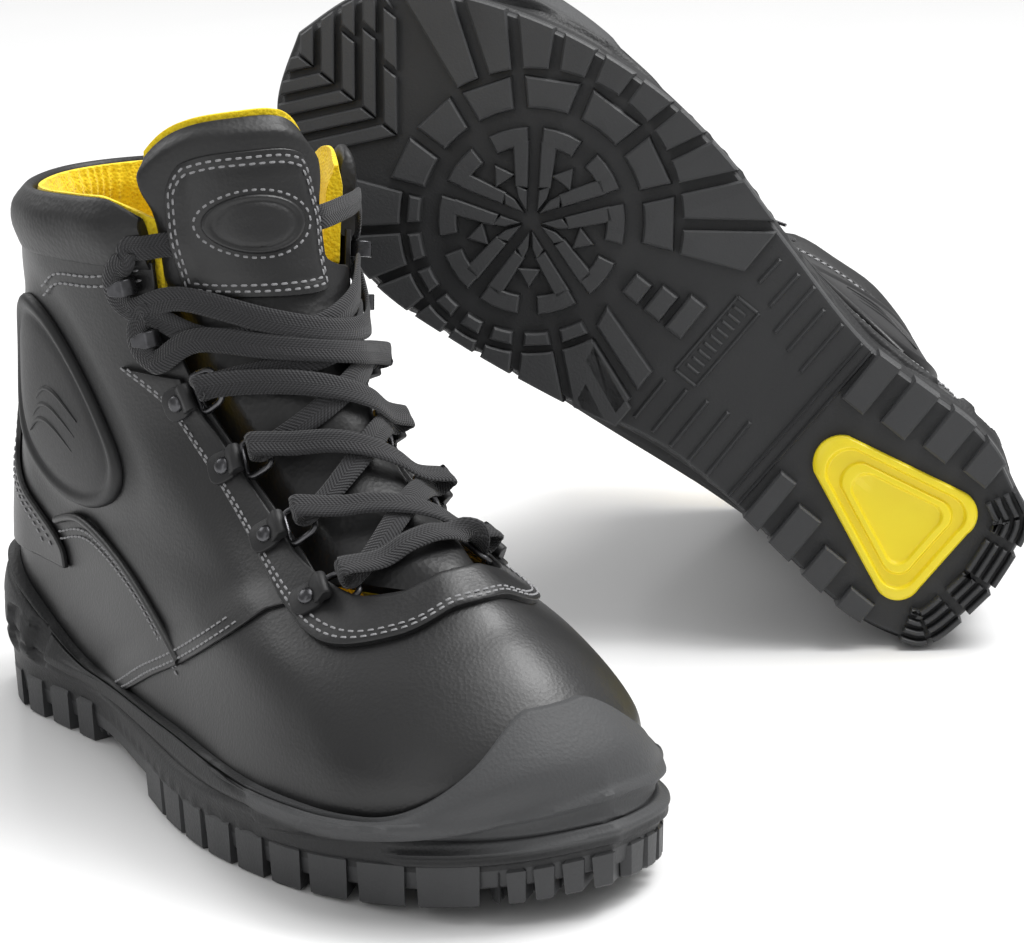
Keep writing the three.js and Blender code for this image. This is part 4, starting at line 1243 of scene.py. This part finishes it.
def tread_plate():
    """Plate that the blocks of the tread stand on, rounded along its lower edge."""
    loops = np.array([sole_loop(-2.2, LUG_DEPTH), sole_loop(-1.2, LUG_DEPTH),
                      sole_loop(-0.6, LUG_DEPTH + 0.6), sole_loop(0, PLATE_TOP + 0.3)])
    count = loops.shape[1]
    faces = grid_faces(count, len(loops) - 1, wrap=True) + closing_faces(count, (len(loops) - 1) * count)
    return Draft().add(loops.reshape(-1, 3), faces)


def polar(angle, radius):
    return [DISC_CENTRE[0] + radius * math.cos(angle), DISC_CENTRE[1] + radius * math.sin(angle)]


def ray_block(low, high, inner, outer, gap=CHANNEL):
    """Outline between two rays from the disc's centre, set in from both by half a channel."""
    def corner(angle, radius, turn):
        shift = gap * turn
        x, y = polar(angle, radius)
        return [x - shift * math.sin(angle), y + shift * math.cos(angle)]

    steps = max(2, int((high - low) * inner / 4))
    arc = np.linspace(low, high, steps + 1)
    near = [corner(low, inner, 1)] + [polar(a, inner) for a in arc[1:-1]] + [corner(high, inner, -1)]
    return near + [corner(high, outer, -1), corner(low, outer, 1)]


FOREFOOT_RAYS = [-66, -39, -13, 16, 44, 70]
CENTRE_RAYS = [70, 92, 114]
INNER_RAYS = [114, 132, 150, 166, 181, 196, 212, 230, 248]


def half_border(low, high, spread):
    """Convex border of the tread between two distances from the heel."""
    s = np.linspace(0, 1, 121)
    spreads = np.full(len(s), float(spread))
    outer = sole_edge(s, 1, spreads)
    inner = sole_edge(s, -1, spreads)[::-1]
    border = np.concatenate([outer, inner[1:-1]])
    border = border[(border[:, 1] >= low) & (border[:, 1] <= high)]
    hull = []
    for sign in (1, -1):
        chain = []
        for point in sorted(border.tolist(), reverse=sign < 0):
            while len(chain) > 1:
                a, b = np.array(chain[-1]) - chain[-2], np.array(point) - chain[-2]
                if a[0] * b[1] - a[1] * b[0] > 0:
                    break
                chain.pop()
            chain.append(point)
        hull += chain[:-1]
    return np.array(hull)


def add_block(draft, outline, border=None, root=BLOCK_ROOT, **sizes):
    """Adds a block to the tread, cut off at a border. Without an outline nothing is added."""
    if border is not None and outline is not None:
        outline = clip(outline, border)
    if outline is not None:
        draft.join(block(outline, root, **sizes))


def forefoot_lugs(draft):
    """Radial blocks round the disc in two rows, outer ones running up the sole's wall."""
    rim = half_border(134, 306, 1.1)
    for rays, split, gap in ((FOREFOOT_RAYS, 50, 2.0), (INNER_RAYS, 43.5, 1.6), (CENTRE_RAYS, 51, 1.6)):
        for low, high in zip(rays, rays[1:]):
            low, high = math.radians(low), math.radians(high)
            add_block(draft, ray_block(low, high, GROOVE_RADIUS + 0.6, split, gap), rim)
            if rays is CENTRE_RAYS:
                continue
            middle = (low + high) / 2
            spans = ((low, middle), (middle, high)) if high - low > 0.42 else ((low, high),)
            for a, b in spans:
                add_block(draft, ray_block(a, b, split + 1.6, 95, gap * 0.8), rim, root=SIDE_TOP,
                          taper=0.3)


def toe_bars(draft):
    """Nested chevrons at the toe; their outer arms are cut into shorter bars."""
    rim = half_border(134, 306, 0.9)
    fan = [polar(math.radians(a), r) for a, r in ((72, 40), (72, 150), (125, 150), (125, 40))]
    slope = math.radians(39)
    outer_arm = np.array([math.cos(slope), math.sin(slope)])
    inner_arm = outer_arm * (-1, 1)
    rise = np.array([0, 6.8])
    for k in range(6):
        apex = np.array([-5, 257 + 9.4 * k])
        outer_cuts = (0, 21 + 7 * (k % 2), 41 + 5 * (k % 2), 90)
        for arm, cuts in ((outer_arm, outer_cuts), (inner_arm, (0, 60))):
            for a, b in zip(cuts, cuts[1:]):
                low, high = apex + arm * (a + (0.8 if a else 0)), apex + arm * (b - 0.8)
                bar = clip([low, high, high + rise, low + rise], fan)
                add_block(draft, bar, rim, root=SIDE_TOP - 3, chamfer=0.6, taper=0.4)


def arc_band(low, high, inner, outer):
    """Outline of a curved bar round the disc's centre."""
    angles = np.linspace(low, high, max(3, int((high - low) * outer / 3)))
    return [polar(a, outer) for a in angles] + [polar(a, inner) for a in angles[::-1]]


def disc_sectors(draft):
    """Turning disc: five sectors, each with two hooked bars, a triangle and a small chevron."""
    centre = np.array(DISC_CENTRE, float)
    sector = 2 * math.pi / 5
    sizes = {"chamfer": 0.5, "taper": 0.4, "face_height": 0.5}

    def corners(angle, turn, places):
        """Points given as distances along a ray and to its side."""
        ray = np.array([math.cos(angle), math.sin(angle)])
        side = np.array([-math.sin(angle), math.cos(angle)]) * turn
        return [centre + ray * a + side * b for a, b in places]

    for k in range(5):
        middle = sector * k
        for sign in (1, -1):
            edge = middle + sign * sector / 2
            ends = sorted((middle + sign * 0.1, edge - sign * 0.075))
            add_block(draft, arc_band(*ends, 25.5, DISC_RADIUS - 0.6), **sizes)
            add_block(draft, corners(edge, -sign, ((11, 1.5), (27.5, 1.8), (27.5, 8.0), (11, 6.4))), **sizes)
        add_block(draft, corners(middle, 1, ((23.5, 0), (16, 4.6), (16, -4.6))), **sizes)
        for sign in (1, -1):
            arm = corners(middle, sign, ((3.2, 0.3), (9.6, 4.9), (14, 2.4), (9.4, 0.3)))
            add_block(draft, arm, chamfer=0.45, taper=0.35, face_height=0.5)


def rectangle(x0, x1, y0, y1, lean=0.0):
    """Flat bar; lean draws its outer end back."""
    return [[x0, y0], [x1, y0 - lean], [x1, y1 - lean], [x0, y1]]


def waist_bars(draft):
    """Low transverse ribs of the waist, its double ridge and a plain framed panel."""
    for y, reach in ((133, -13), (125, -11), (117, -9.5), (109, -8), (101, -6)):
        add_block(draft, rectangle(-30, reach, y - 0.8, y + 0.8), chamfer=0.4, taper=0.3, face_height=3.6)
    for y, reach in ((129, 33), (121, 29), (114, 23), (106.5, 21), (98.5, 18)):
        add_block(draft, rectangle(reach, 44 if y > 110 else 40, y - 0.8, y + 0.8, 0.8),
                  chamfer=0.4, taper=0.3, face_height=3.6)
    for y in (84.5, 89):
        add_block(draft, rectangle(-31, 39, y + 1, y + 2.3, 2.4), chamfer=0.4, taper=0.3, face_height=3.2)
    for bar in (rectangle(-8, 25, 132, 133.2, 1), rectangle(-8, 25, 122.6, 123.8, 1),
                rectangle(-9, -7.6, 123.4, 132.6), rectangle(24, 25.4, 122.6, 131.6)):
        add_block(draft, bar, chamfer=0.3, taper=0.2, face_height=3.9)
    for k in range(9):
        add_block(draft, rectangle(-5 + 3.2 * k, -3.6 + 3.2 * k, 125.2, 130.6), chamfer=0.3, taper=0.2,
                  face_height=4.1)


def ladder(draft):
    """Cross bars between the disc and the waist, with slanted blocks beside them."""
    rim = half_border(134, 306, 1.1)
    for low, high, reach in ((156.5, 164, 10), (147, 154.5, 12.5), (137.5, 145, 16)):
        add_block(draft, rectangle(1, reach, low, high), rim)
    for x, top in ((-5, 165), (-17, 161), (-29, 155)):
        slanted = [[x, top], [x - 8.5, top - 1.5], [x - 17, 138], [x - 8, 138]]
        add_block(draft, slanted, rim)


def heel_lugs(draft):
    """Four transverse blocks on each side of the heel insert and fine arcs round the back."""
    rim = half_border(-1, 86, 1.1)
    for low, high, reach in ((72.5, 82.5, 20), (56, 67, 22), (40, 50.5, 24.5), (24, 34.5, 26.5)):
        add_block(draft, rectangle(reach, 60, low, high), rim, root=SIDE_TOP, taper=0.3)
    for low, high, reach in ((75, 85, -12), (60, 70.5, -17), (44.5, 54.5, -22.5), (27.5, 38.5, -28)):
        add_block(draft, rectangle(-60, reach, low, high), rim, root=SIDE_TOP, taper=0.3)
    pieces = {1: ((0.012, 0.058), (0.068, 0.125), (0.135, 0.19)),
              -1: ((0.0, 0.042), (0.052, 0.1), (0.11, 0.18))}
    for side, spans in pieces.items():
        for low, high in spans:
            s = np.linspace(low, high, 7)
            for row in range(4):
                near = sole_edge(s, side, np.full(len(s), 0.9 - 3.4 * row))
                far = sole_edge(s[::-1], side, np.full(len(s), -1.2 - 3.4 * row))
                root = SIDE_TOP if row == 0 else BLOCK_ROOT
                add_block(draft, np.concatenate([near, far]), root=root, chamfer=0.4, taper=0.25,
                          face_height=0.4)


def tread():
    """The whole tread of one boot."""
    draft = tread_plate()
    forefoot_lugs(draft)
    toe_bars(draft)
    disc_sectors(draft)
    waist_bars(draft)
    ladder(draft)
    heel_lugs(draft)
    return draft


def insert_outline(steps=7):
    """Triangle with large round corners, its point towards the toe."""
    corners = np.array([[2.5, 67.5], [-15.5, 28], [13, 27]], float)
    centre = corners.mean(0)
    outline = []
    for corner, radius in zip(corners, (10, 8.5, 8.5)):
        middle = math.atan2(*(corner - centre)[::-1])
        for k in range(-steps, steps + 1):
            angle = middle + k * 1.02 / steps
            outline.append(corner + radius * np.array([math.cos(angle), math.sin(angle)]))
    return np.array(outline)


def heel_insert():
    """Soft yellow insert: raised rim, sunken field and a raised inner triangle."""
    rings = [(0, 5.9), (0, 2.4), (-0.9, 1.5), (-3.4, 1.5), (-4.2, 3.2), (-7.6, 3.4), (-8.2, 2.0),
             (-10.6, 1.9), (-11.4, 3.2), (-16, 3.5)]
    outline = insert_outline()
    centre = outline.mean(0)
    points = []
    for shrink, height in rings:
        loop = centre + (outline - centre) * (1 + shrink / 24)
        points.append(np.column_stack([loop, np.full(len(loop), height)]))
    count = len(outline)
    faces = grid_faces(count, len(rings) - 1, wrap=True, flip=True)
    faces.append([(len(rings) - 1) * count + i for i in range(count)][::-1])
    faces.append(list(range(count)))
    return Draft().add(np.concatenate(points), faces)


def footbed():
    """Cushioned footbed, crowned along its middle."""
    steps, rows = 60, 8
    low = face_loop(0.02, -FOOTBED_MARGIN, FOOTBED_THICKNESS, steps)
    high = face_loop(0, -FOOTBED_MARGIN, 0, steps)
    count = len(low)
    crest = np.column_stack([np.full(count, float(FOOTBED_MIDDLE)), high[:, 1], high[:, 2]])
    loops = [low, high]
    for k in range(1, rows):
        loop = mix(high, crest, k / rows)
        loop[:, 2] += 0.8 * math.sin(k / rows * math.pi / 2)
        loops.append(loop)
    faces = grid_faces(count, len(loops) - 1, wrap=True) + closing_faces(count, (len(loops) - 1) * count)
    return Draft().add(np.concatenate(loops), faces)


# Materials

class Field:
    """A value that changes over a surface; sums and products of fields add the nodes for them."""

    def __init__(self, finish, socket):
        self.finish = finish
        self.socket = socket

    def _math(self, operation, a, b):
        return self.finish.add("ShaderNodeMath", {"operation": operation}, {0: a, 1: b})

    def __add__(self, other):
        return self._math("ADD", self, other)

    def __radd__(self, other):
        return self._math("ADD", other, self)

    def __rsub__(self, other):
        return self._math("SUBTRACT", other, self)

    def __mul__(self, other):
        return self._math("MULTIPLY", self, other)

    def __rmul__(self, other):
        return self._math("MULTIPLY", other, self)

    def sine(self):
        return self._math("SINE", self, 0)

    def size(self):
        """The value without its sign."""
        return self._math("ABSOLUTE", self, 0)

    def step(self, low, high):
        """0 below low, 1 above high, smooth between."""
        return self.finish.add("ShaderNodeMapRange", {"interpolation_type": "SMOOTHSTEP"},
                               {0: self, 1: low, 2: high})


class Finish:
    """A material with a principled shader; uniform names its sockets that don't change."""

    def __init__(self, name, uniform):
        self.material = bpy.data.materials.new(name)
        self.material.use_nodes = True
        self.nodes = self.material.node_tree.nodes
        self.links = self.material.node_tree.links
        self.shader = self.nodes["Principled BSDF"]
        for key, value in uniform.items():
            self.shader.inputs[key].default_value = value

    def add(self, kind, settings=None, inputs=None, output=0):
        """A node of one kind with its settings and inputs; returns one of its outputs."""
        node = self.nodes.new(kind)
        for key, value in (settings or {}).items():
            setattr(node, key, value)
        for key, value in (inputs or {}).items():
            self.put(node.inputs[key], value)
        return Field(self, node.outputs[output])

    def put(self, socket, value):
        if isinstance(value, Field):
            self.links.new(value.socket, socket)
        else:
            socket.default_value = value

    def give(self, **fields):
        """Feeds the shader's sockets that change over the surface."""
        names = {"colour": "Base Color", "roughness": "Roughness", "metallic": "Metallic",
                 "normal": "Normal", "coat": "Coat Weight"}
        for key, field in fields.items():
            self.put(self.shader.inputs[names[key]], field)
        return self

    def place(self):
        """Place in the object's own metres."""
        return self.add("ShaderNodeTexCoord", output="Object")

    def cloth(self):
        """Place on the piece's cloth in millimetres."""
        return self.add("ShaderNodeUVMap", {"uv_map": "cloth"})

    def noise(self, scale, detail):
        inputs = {"Vector": self.place(), "Scale": scale, "Detail": detail}
        return self.add("ShaderNodeTexNoise", {}, inputs, "Fac")

    def cells(self, scale):
        inputs = {"Vector": self.place(), "Scale": scale}
        return self.add("ShaderNodeTexVoronoi", {"feature": "F1"}, inputs, "Distance")

    def between(self, share, dark, light):
        """Colour mixed from a dark and a light one."""
        return self.add("ShaderNodeMix", {"data_type": "RGBA"},
                        {"Factor": share, 6: (*dark, 1), 7: (*light, 1)}, 2)

    def relief(self, height, depth, strength):
        """Fine relief of a depth in metres."""
        return self.add("ShaderNodeBump", {}, {"Height": height, "Distance": depth, "Strength": strength})

    def axis(self, vector, name):
        return self.add("ShaderNodeSeparateXYZ", {}, {0: vector}, name)


def leather_finish():
    """Smooth greased leather: fine pebble grain, faint clouding and a satin shine."""
    finish = Finish("smooth_black_leather", {"Specular IOR Level": 0.5, "Coat Roughness": 0.28})
    grain = finish.cells(850)
    fine = finish.noise(1600, 4)
    cloud = finish.noise(28, 5)
    crease = finish.noise(140, 6)
    height = grain * 0.5 + fine * 0.35 + crease * 0.5
    return finish.give(colour=finish.between(cloud, (0.0035, 0.0035, 0.004), (0.009, 0.009, 0.0095)),
                       roughness=0.33 + 0.16 * cloud + 0.07 * fine, coat=0.06 + 0.12 * cloud,
                       normal=finish.relief(height, 0.00022, 0.55)).material


def soft_leather_finish():
    """Thinner, softer leather of the collar and tongue with a more open grain."""
    finish = Finish("soft_black_leather", {"Specular IOR Level": 0.45})
    grain = finish.cells(620)
    crease = finish.noise(90, 7)
    cloud = finish.noise(35, 4)
    return finish.give(colour=finish.between(cloud, (0.005, 0.005, 0.0055), (0.012, 0.012, 0.0125)),
                       roughness=0.42 + 0.15 * cloud,
                       normal=finish.relief(grain * 0.6 + crease * 0.8, 0.0003, 0.6)).material


def guard_finish():
    """Moulded ankle guard in matt rubber with a dusty sheen."""
    finish = Finish("moulded_guard", {"Specular IOR Level": 0.4})
    speck = finish.noise(900, 3)
    cloud = finish.noise(30, 4)
    return finish.give(colour=finish.between(cloud, (0.007, 0.007, 0.0075), (0.014, 0.014, 0.015)),
                       roughness=0.45 + 0.12 * speck,
                       normal=finish.relief(speck, 0.00015, 0.5)).material


def foam_finish():
    """Moulded polyurethane midsole: fine moulding grain, lighter sharp edges, and a painted highlight on the toe
    guard's top, which is also rougher.
    """
    finish = Finish("moulded_midsole", {"Specular IOR Level": 0.38})
    speck = finish.noise(1300, 3)
    pebble = finish.cells(900)
    cloud = finish.noise(22, 5)
    edge = finish.add("ShaderNodeNewGeometry", output="Pointiness").step(0.5, 0.6)
    # Painted highlight: the per-point mask lightens the colour on the toe guard's top, where the light falls, and
    # raises its roughness a little.
    painted_highlight = finish.add("ShaderNodeAttribute", {"attribute_name": "painted_highlight"}, output="Fac")
    tone = cloud * 0.3 + edge * 0.25 + painted_highlight * (0.7 + 0.4 * cloud)
    return finish.give(colour=finish.between(tone, (0.007, 0.0072, 0.0078), (0.056, 0.057, 0.059)),
                       roughness=0.46 + 0.14 * speck + 0.1 * painted_highlight,
                       normal=finish.relief(speck * 0.6 + pebble * 0.5, 0.0003, 0.6)).material


def tread_finish():
    """Nitrile rubber tread, clouded and lighter on its sharp edges."""
    finish = Finish("tread_rubber", {"Specular IOR Level": 0.42})
    speck = finish.noise(1100, 3)
    cloud = finish.noise(18, 5)
    edge = finish.add("ShaderNodeNewGeometry", output="Pointiness").step(0.49, 0.58)
    tone = cloud * 0.7 + edge * 0.45
    return finish.give(colour=finish.between(tone, (0.012, 0.0122, 0.013), (0.048, 0.049, 0.051)),
                       roughness=0.42 + 0.2 * speck,
                       normal=finish.relief(speck + cloud * 2.0, 0.00025, 0.5)).material


def insert_finish():
    """Glossy yellow soft plastic of the heel insert."""
    finish = Finish("yellow_insert", {"Specular IOR Level": 0.5, "Subsurface Weight": 0.06})
    cloud = finish.noise(40, 4)
    speck = finish.noise(700, 3)
    return finish.give(colour=finish.between(cloud, (0.93, 0.69, 0.01), (0.99, 0.80, 0.035)),
                       roughness=0.28 + 0.1 * speck, normal=finish.relief(speck, 0.0001, 0.4)).material


def knit_finish(name, dark, light, pitch):
    """Warp-knitted mesh: rows of small loops with open eyes."""
    finish = Finish(name, {"Specular IOR Level": 0.25, "Sheen Weight": 0.25, "Sheen Roughness": 0.5})
    eyes = finish.cells(pitch)
    fuzz = finish.noise(pitch * 1.6, 3)
    tone = eyes.step(0.1, 0.5) * 0.6 + fuzz * 0.4
    return finish.give(colour=finish.between(tone, dark, light), roughness=0.75 + 0.15 * fuzz,
                       normal=finish.relief(1 - eyes, 0.0005, 0.7)).material


def lace_finish():
    """Flat braided lace: slanted ribs that meet along the middle."""
    finish = Finish("braided_lace", {"Specular IOR Level": 0.3, "Sheen Weight": 0.15,
                                     "Sheen Roughness": 0.5})
    cloth = finish.cloth()
    along, across = finish.axis(cloth, "X"), finish.axis(cloth, "Y")
    bend = across.size()
    ribs = ((along + bend * 0.8) * 5.2).sine() * 0.5 + 0.5
    threads = (across * 9.0).sine() * 0.5 + 0.5
    fuzz = finish.noise(2500, 2)
    height = ribs * 0.7 + threads * 0.3 + fuzz * 0.25
    return finish.give(colour=finish.between(height * 0.8, (0.007, 0.007, 0.0075), (0.034, 0.034, 0.037)),
                       roughness=0.62 + 0.2 * fuzz, normal=finish.relief(height, 0.00035, 0.9)).material


def thread_finish():
    """Twisted grey sewing thread."""
    finish = Finish("grey_thread", {"Specular IOR Level": 0.35, "Sheen Weight": 0.2})
    twist = finish.noise(2600, 2)
    return finish.give(colour=finish.between(twist, (0.13, 0.13, 0.135), (0.36, 0.36, 0.37)),
                       roughness=0.6 + 0.2 * twist,
                       normal=finish.relief(twist, 0.0001, 0.6)).material


def metal_finish(name, dark, light, rough):
    """Metal, lighter on its sharp edges and in patches."""
    finish = Finish(name, {"Specular IOR Level": 0.5})
    rub = finish.noise(420, 4)
    edge = finish.add("ShaderNodeNewGeometry", output="Pointiness").step(0.5, 0.62)
    return finish.give(colour=finish.between(rub * 0.5 + edge * 0.5, dark, light),
                       metallic=0.85 + 0.15 * rub, roughness=rough + 0.18 * rub,
                       normal=finish.relief(rub, 0.00008, 0.4)).material


def floor_finish():
    """Satin white board."""
    finish = Finish("pale_floor", {"Specular IOR Level": 0.35})
    cloud = finish.noise(3, 2)
    return finish.give(colour=finish.between(cloud, (0.90, 0.90, 0.90), (0.92, 0.92, 0.92)),
                       roughness=0.22 + 0.05 * cloud).material


MATERIALS = {
    "leather": leather_finish(),
    "soft": soft_leather_finish(),
    "guard": guard_finish(),
    "foam": foam_finish(),
    "rubber": tread_finish(),
    "insert": insert_finish(),
    "lining": knit_finish("yellow_lining_knit", (0.78, 0.50, 0.0), (0.98, 0.74, 0.02), 900),
    "footbed": knit_finish("footbed_cover", (0.015, 0.015, 0.016), (0.05, 0.05, 0.055), 700),
    "lace": lace_finish(),
    "thread": thread_finish(),
    "hardware": metal_finish("blackened_metal", (0.02, 0.02, 0.022), (0.2, 0.2, 0.21), 0.2),
    "steel": metal_finish("pressed_steel", (0.35, 0.36, 0.38), (0.62, 0.63, 0.65), 0.3),
}


# Placing both boots

# The mount under the ball of the right foot lies this far to its outer side and forward of the
# back of the heel, and that boot's toe points along -y. Each footbed's hinge is at the same
# place in its boot.
BALL_MOUNT = (6, 197, 0)
ball_mount = next(m for m in frame["record"]["mounts"] if m["name"] == "right_ball_tread")
RIGHT_HEEL = Vector(ball_mount["pos_m"]) + Vector(BALL_MOUNT) * MM
hinges = {j["name"]: Vector(j["pos_m"]) for j in frame["joints"] if j["name"].endswith("footbed_lift")}
hinge = hinges["right_footbed_lift"]
hinge_in_boot = Vector((RIGHT_HEEL.x - hinge.x, RIGHT_HEEL.y - hinge.y, hinge.z))
MIRROR = Matrix.Diagonal((-1, 1, 1))
left_turn = Euler([math.radians(a) for a in LEFT_TURN], "XYZ").to_matrix() @ MIRROR
left_heel = hinges["left_footbed_lift"] - left_turn @ hinge_in_boot
PLACES = {
    "right": (np.array(Matrix.Rotation(math.pi, 3, "Z")), np.array(RIGHT_HEEL)),
    "left": (np.array(left_turn), np.array(left_heel)),
}


def make(side, name, draft, finish, body, stands_for, sharp, soften=0.0):
    """Turns a draft into an object on its boot, riding on a body."""
    turn, heel = PLACES[side]
    points = (np.array(draft.points) * MM) @ turn.T + heel
    faces = draft.faces if side == "right" else [f[::-1] for f in draft.faces]
    mesh = bpy.data.meshes.new(f"{side}_{name}")
    mesh.from_pydata(points.tolist(), [], faces)
    cloth = mesh.uv_layers.new(name="cloth")
    corners = np.empty(len(mesh.loops), int)
    mesh.loops.foreach_get("vertex_index", corners)
    cloth.data.foreach_set("uv", np.array(draft.cloth, float)[corners].ravel())
    # Per-point share of painted highlight, turned into a lighter colour by the midsole's finish.
    painted_highlight = mesh.attributes.new("painted_highlight", "FLOAT", "POINT")
    painted_highlight.data.foreach_set("value", np.array(draft.painted_highlight, float))
    mesh.validate()
    mesh.materials.append(MATERIALS[finish])
    mesh.shade_smooth()
    mesh.set_sharp_from_angle(angle=math.radians(sharp))
    piece = bpy.data.objects.new(f"{side}_{name}", mesh)
    bpy.context.scene.collection.objects.link(piece)
    if soften:
        bevel = piece.modifiers.new("soft_edges", "BEVEL")
        bevel.width = soften * MM
        bevel.segments = 2
        bevel.limit_method = "ANGLE"
        bevel.angle_limit = math.radians(45)
    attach(piece, body)
    if stands_for:
        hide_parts(*(f"{side}_{node}" for node in stands_for))
    return piece


# Pieces that ride on the boot's body: name, draft, finish, nodes that the piece stands for,
# slot, angle of a sharp edge in degrees, and rounding of the edges in millimetres.
drafts = [
    ("tread", tread(), "rubber", ("outsole",), "rubber", 30, 0),
    ("midsole_wall", midsole(), "foam", ("midsole",), "foam", 50, 0),
    ("heel_cushion", heel_insert(), "insert", ("heel_insert",), "insert", 50, 0.3),
    ("vamp_panel", vamp(), "leather", ("vamp",), "leather", 45, 0.4),
    ("outer_quarter_panel", quarter(1), "leather", ("quarter_outer",), "leather", 45, 0.5),
    ("inner_quarter_panel", quarter(-1), "leather", ("quarter_inner",), "leather", 45, 0.5),
    ("heel_counter_panel", heel_counter(), "leather", ("heel_counter",), "leather", 45, 0.6),
    ("back_strap", back_strap(), "soft", (), "leather", 45, 0.5),
    ("heel_piping", piping(), "leather", (), "leather", 60, 0),
    ("outer_ankle_guard", ankle_disc(1), "guard", ("ankle_pad_outer",), "leather", 50, 0),
    ("inner_ankle_guard", ankle_disc(-1), "guard", ("ankle_pad_inner",), "leather", 50, 0),
    ("outer_guard_ribs", ankle_ribs(1), "guard", (), "leather", 60, 0),
    ("inner_guard_ribs", ankle_ribs(-1), "guard", (), "leather", 60, 0),
    ("padded_collar", collar(), "soft", ("collar",), "leather", 60, 0),
    ("yellow_lining", lining(), "lining", ("lining",), "lining", 50, 0.5),
    ("padded_tongue", tongue(), "soft", ("tongue",), "leather", 50, 0.5),
    ("tongue_lining", tongue_lining(), "lining", (), "lining", 50, 0.5),
    ("badge_patch", tongue_patch(), "leather", ("tongue_patch",), "leather", 45, 0.5),
    ("badge", badge(), "leather", (), "leather", 50, 0),
    ("eyestay_facing", eyestay(), "leather", ("eyestay",), "leather", 45, 0.5),
    ("shaft_stitches", shaft_seams(), "thread", (), "textile", 60, 0),
    ("eyestay_stitches", eyestay_seam(), "thread", (), "textile", 60, 0),
    ("patch_stitches", patch_seam().join(badge_seam()), "thread", (), "textile", 60, 0),
    ("woven_lace", lace(), "lace", ("lace",), "textile", 60, 0),
]

# Share of padding that would give way. Nothing reads it to make the pieces give way.
PADDED = {"padded_collar": 0.7, "padded_tongue": 0.6, "yellow_lining": 0.3, "back_strap": 0.4}

for side in SIDES:
    boot = f"{side}_boot"
    for name, draft, finish, stands_for, slot_name, sharp, soften in drafts:
        piece = make(side, name, draft, finish, boot, stands_for, sharp, soften)
        name in PADDED
    cushion = make(side, "cushioned_footbed", footbed(), "footbed", f"{side}_footbed_body", ("footbed",),
                   50)
    for fitting in FITTINGS:
        if fitting.hook:
            label = f"{fitting.word}_{fitting.level - len(RING_PLACES) + 1}"
            make(side, f"speed_hook_{label}", fitting.place(hook(), HOOK_LIFT), "hardware", boot,
                 (f"hook_{label}",), 50, 0.25)
            make(side, f"hook_rivet_{label}", fitting.place(rivet(2.3, 1.0), HOOK_LIFT + HOOK_METAL),
                 "hardware", boot, (), 50)
        else:
            label = f"{fitting.word}_{fitting.level + 1}"
            make(side, f"d_ring_{label}", fitting.place(ring()), "hardware", f"{side}_ring_{label}_body",
                 (f"ring_{label}",), 60)
            make(side, f"ring_clip_{label}", fitting.place(clip_tab()), "guard", boot, (), 45, 0.3)
            make(side, f"clip_rivet_{label}", fitting.place(rivet(), EYESTAY_TOP + 1.4), "hardware", boot, (),
                 50)

for name, node in frame["nodes"].items():
    if name.endswith(("toecap", "plate")):
        for slot in node.material_slots:
            slot.material = MATERIALS["steel"]


# Stage, lights and camera

def stage():
    """Pale board that the boots stand on, 6 m to each side."""
    half = 6
    mesh = bpy.data.meshes.new("pale_floor")
    mesh.from_pydata([(-half, -half, 0), (half, -half, 0), (half, half, 0), (-half, half, 0)], [],
                     [(0, 1, 2, 3)])
    mesh.materials.append(floor_finish())
    floor = bpy.data.objects.new("pale_floor", mesh)
    bpy.context.scene.collection.objects.link(floor)


def softbox(name, place, size, power):
    """Soft lamp that looks at the middle of the boots."""
    lamp = bpy.data.lights.new(name, "AREA")
    lamp.shape = "RECTANGLE"
    lamp.size, lamp.size_y = size
    lamp.energy = power
    holder = bpy.data.objects.new(name, lamp)
    holder.location = place
    holder.rotation_euler = (Vector((0, 0, 0.1)) - Vector(place)).to_track_quat("-Z", "Y").to_euler()
    bpy.context.scene.collection.objects.link(holder)


def sun():
    """Wide soft light from above and the right, like a large ceiling panel's."""
    lamp = bpy.data.lights.new("ceiling", "SUN")
    lamp.energy = 2.25
    lamp.angle = math.radians(55)
    holder = bpy.data.objects.new("ceiling", lamp)
    holder.rotation_euler = Vector((0.55, -0.25, 1.3)).to_track_quat("Z", "Y").to_euler()
    bpy.context.scene.collection.objects.link(holder)


def sky():
    """Even white surroundings."""
    world = bpy.data.worlds.new("studio")
    bpy.context.scene.world = world
    world.use_nodes = True
    background = world.node_tree.nodes["Background"]
    background.inputs["Color"].default_value = (1, 1, 1, 1)
    background.inputs["Strength"].default_value = 0.5


def camera():
    """Camera that looks at a point by the right boot from a turn, a rise and a distance."""
    turn, rise, roll = (math.radians(a) for a in (CAMERA_TURN, CAMERA_RISE, CAMERA_ROLL))
    target = RIGHT_HEEL + Vector(CAMERA_TARGET) * MM
    back = Vector((math.sin(turn) * math.cos(rise), -math.cos(turn) * math.cos(rise), math.sin(rise)))
    right = back.cross(Vector((0, 0, -1))).normalized()
    up = back.cross(right).normalized()
    tilted_right = math.cos(roll) * right + math.sin(roll) * up
    tilted_up = -math.sin(roll) * right + math.cos(roll) * up
    data = bpy.data.cameras.new("camera")
    data.lens = LENS
    data.sensor_width = 36
    holder = bpy.data.objects.new("camera", data)
    axes = Matrix((tilted_right, tilted_up, back)).transposed().to_4x4()
    holder.matrix_world = Matrix.Translation(target + back * CAMERA_DISTANCE * MM) @ axes
    bpy.context.scene.collection.objects.link(holder)
    bpy.context.scene.camera = holder


stage()
sky()
sun()
softbox("key", (0.7, -0.35, 1.5), (0.6, 0.6), 14)
softbox("fill", (-1.5, -0.7, 0.7), (0.6, 1.4), 3)
softbox("back", (-0.5, 1.4, 1.3), (1.4, 0.8), 10)
camera()
bpy.context.scene.view_settings.view_transform = "Standard"
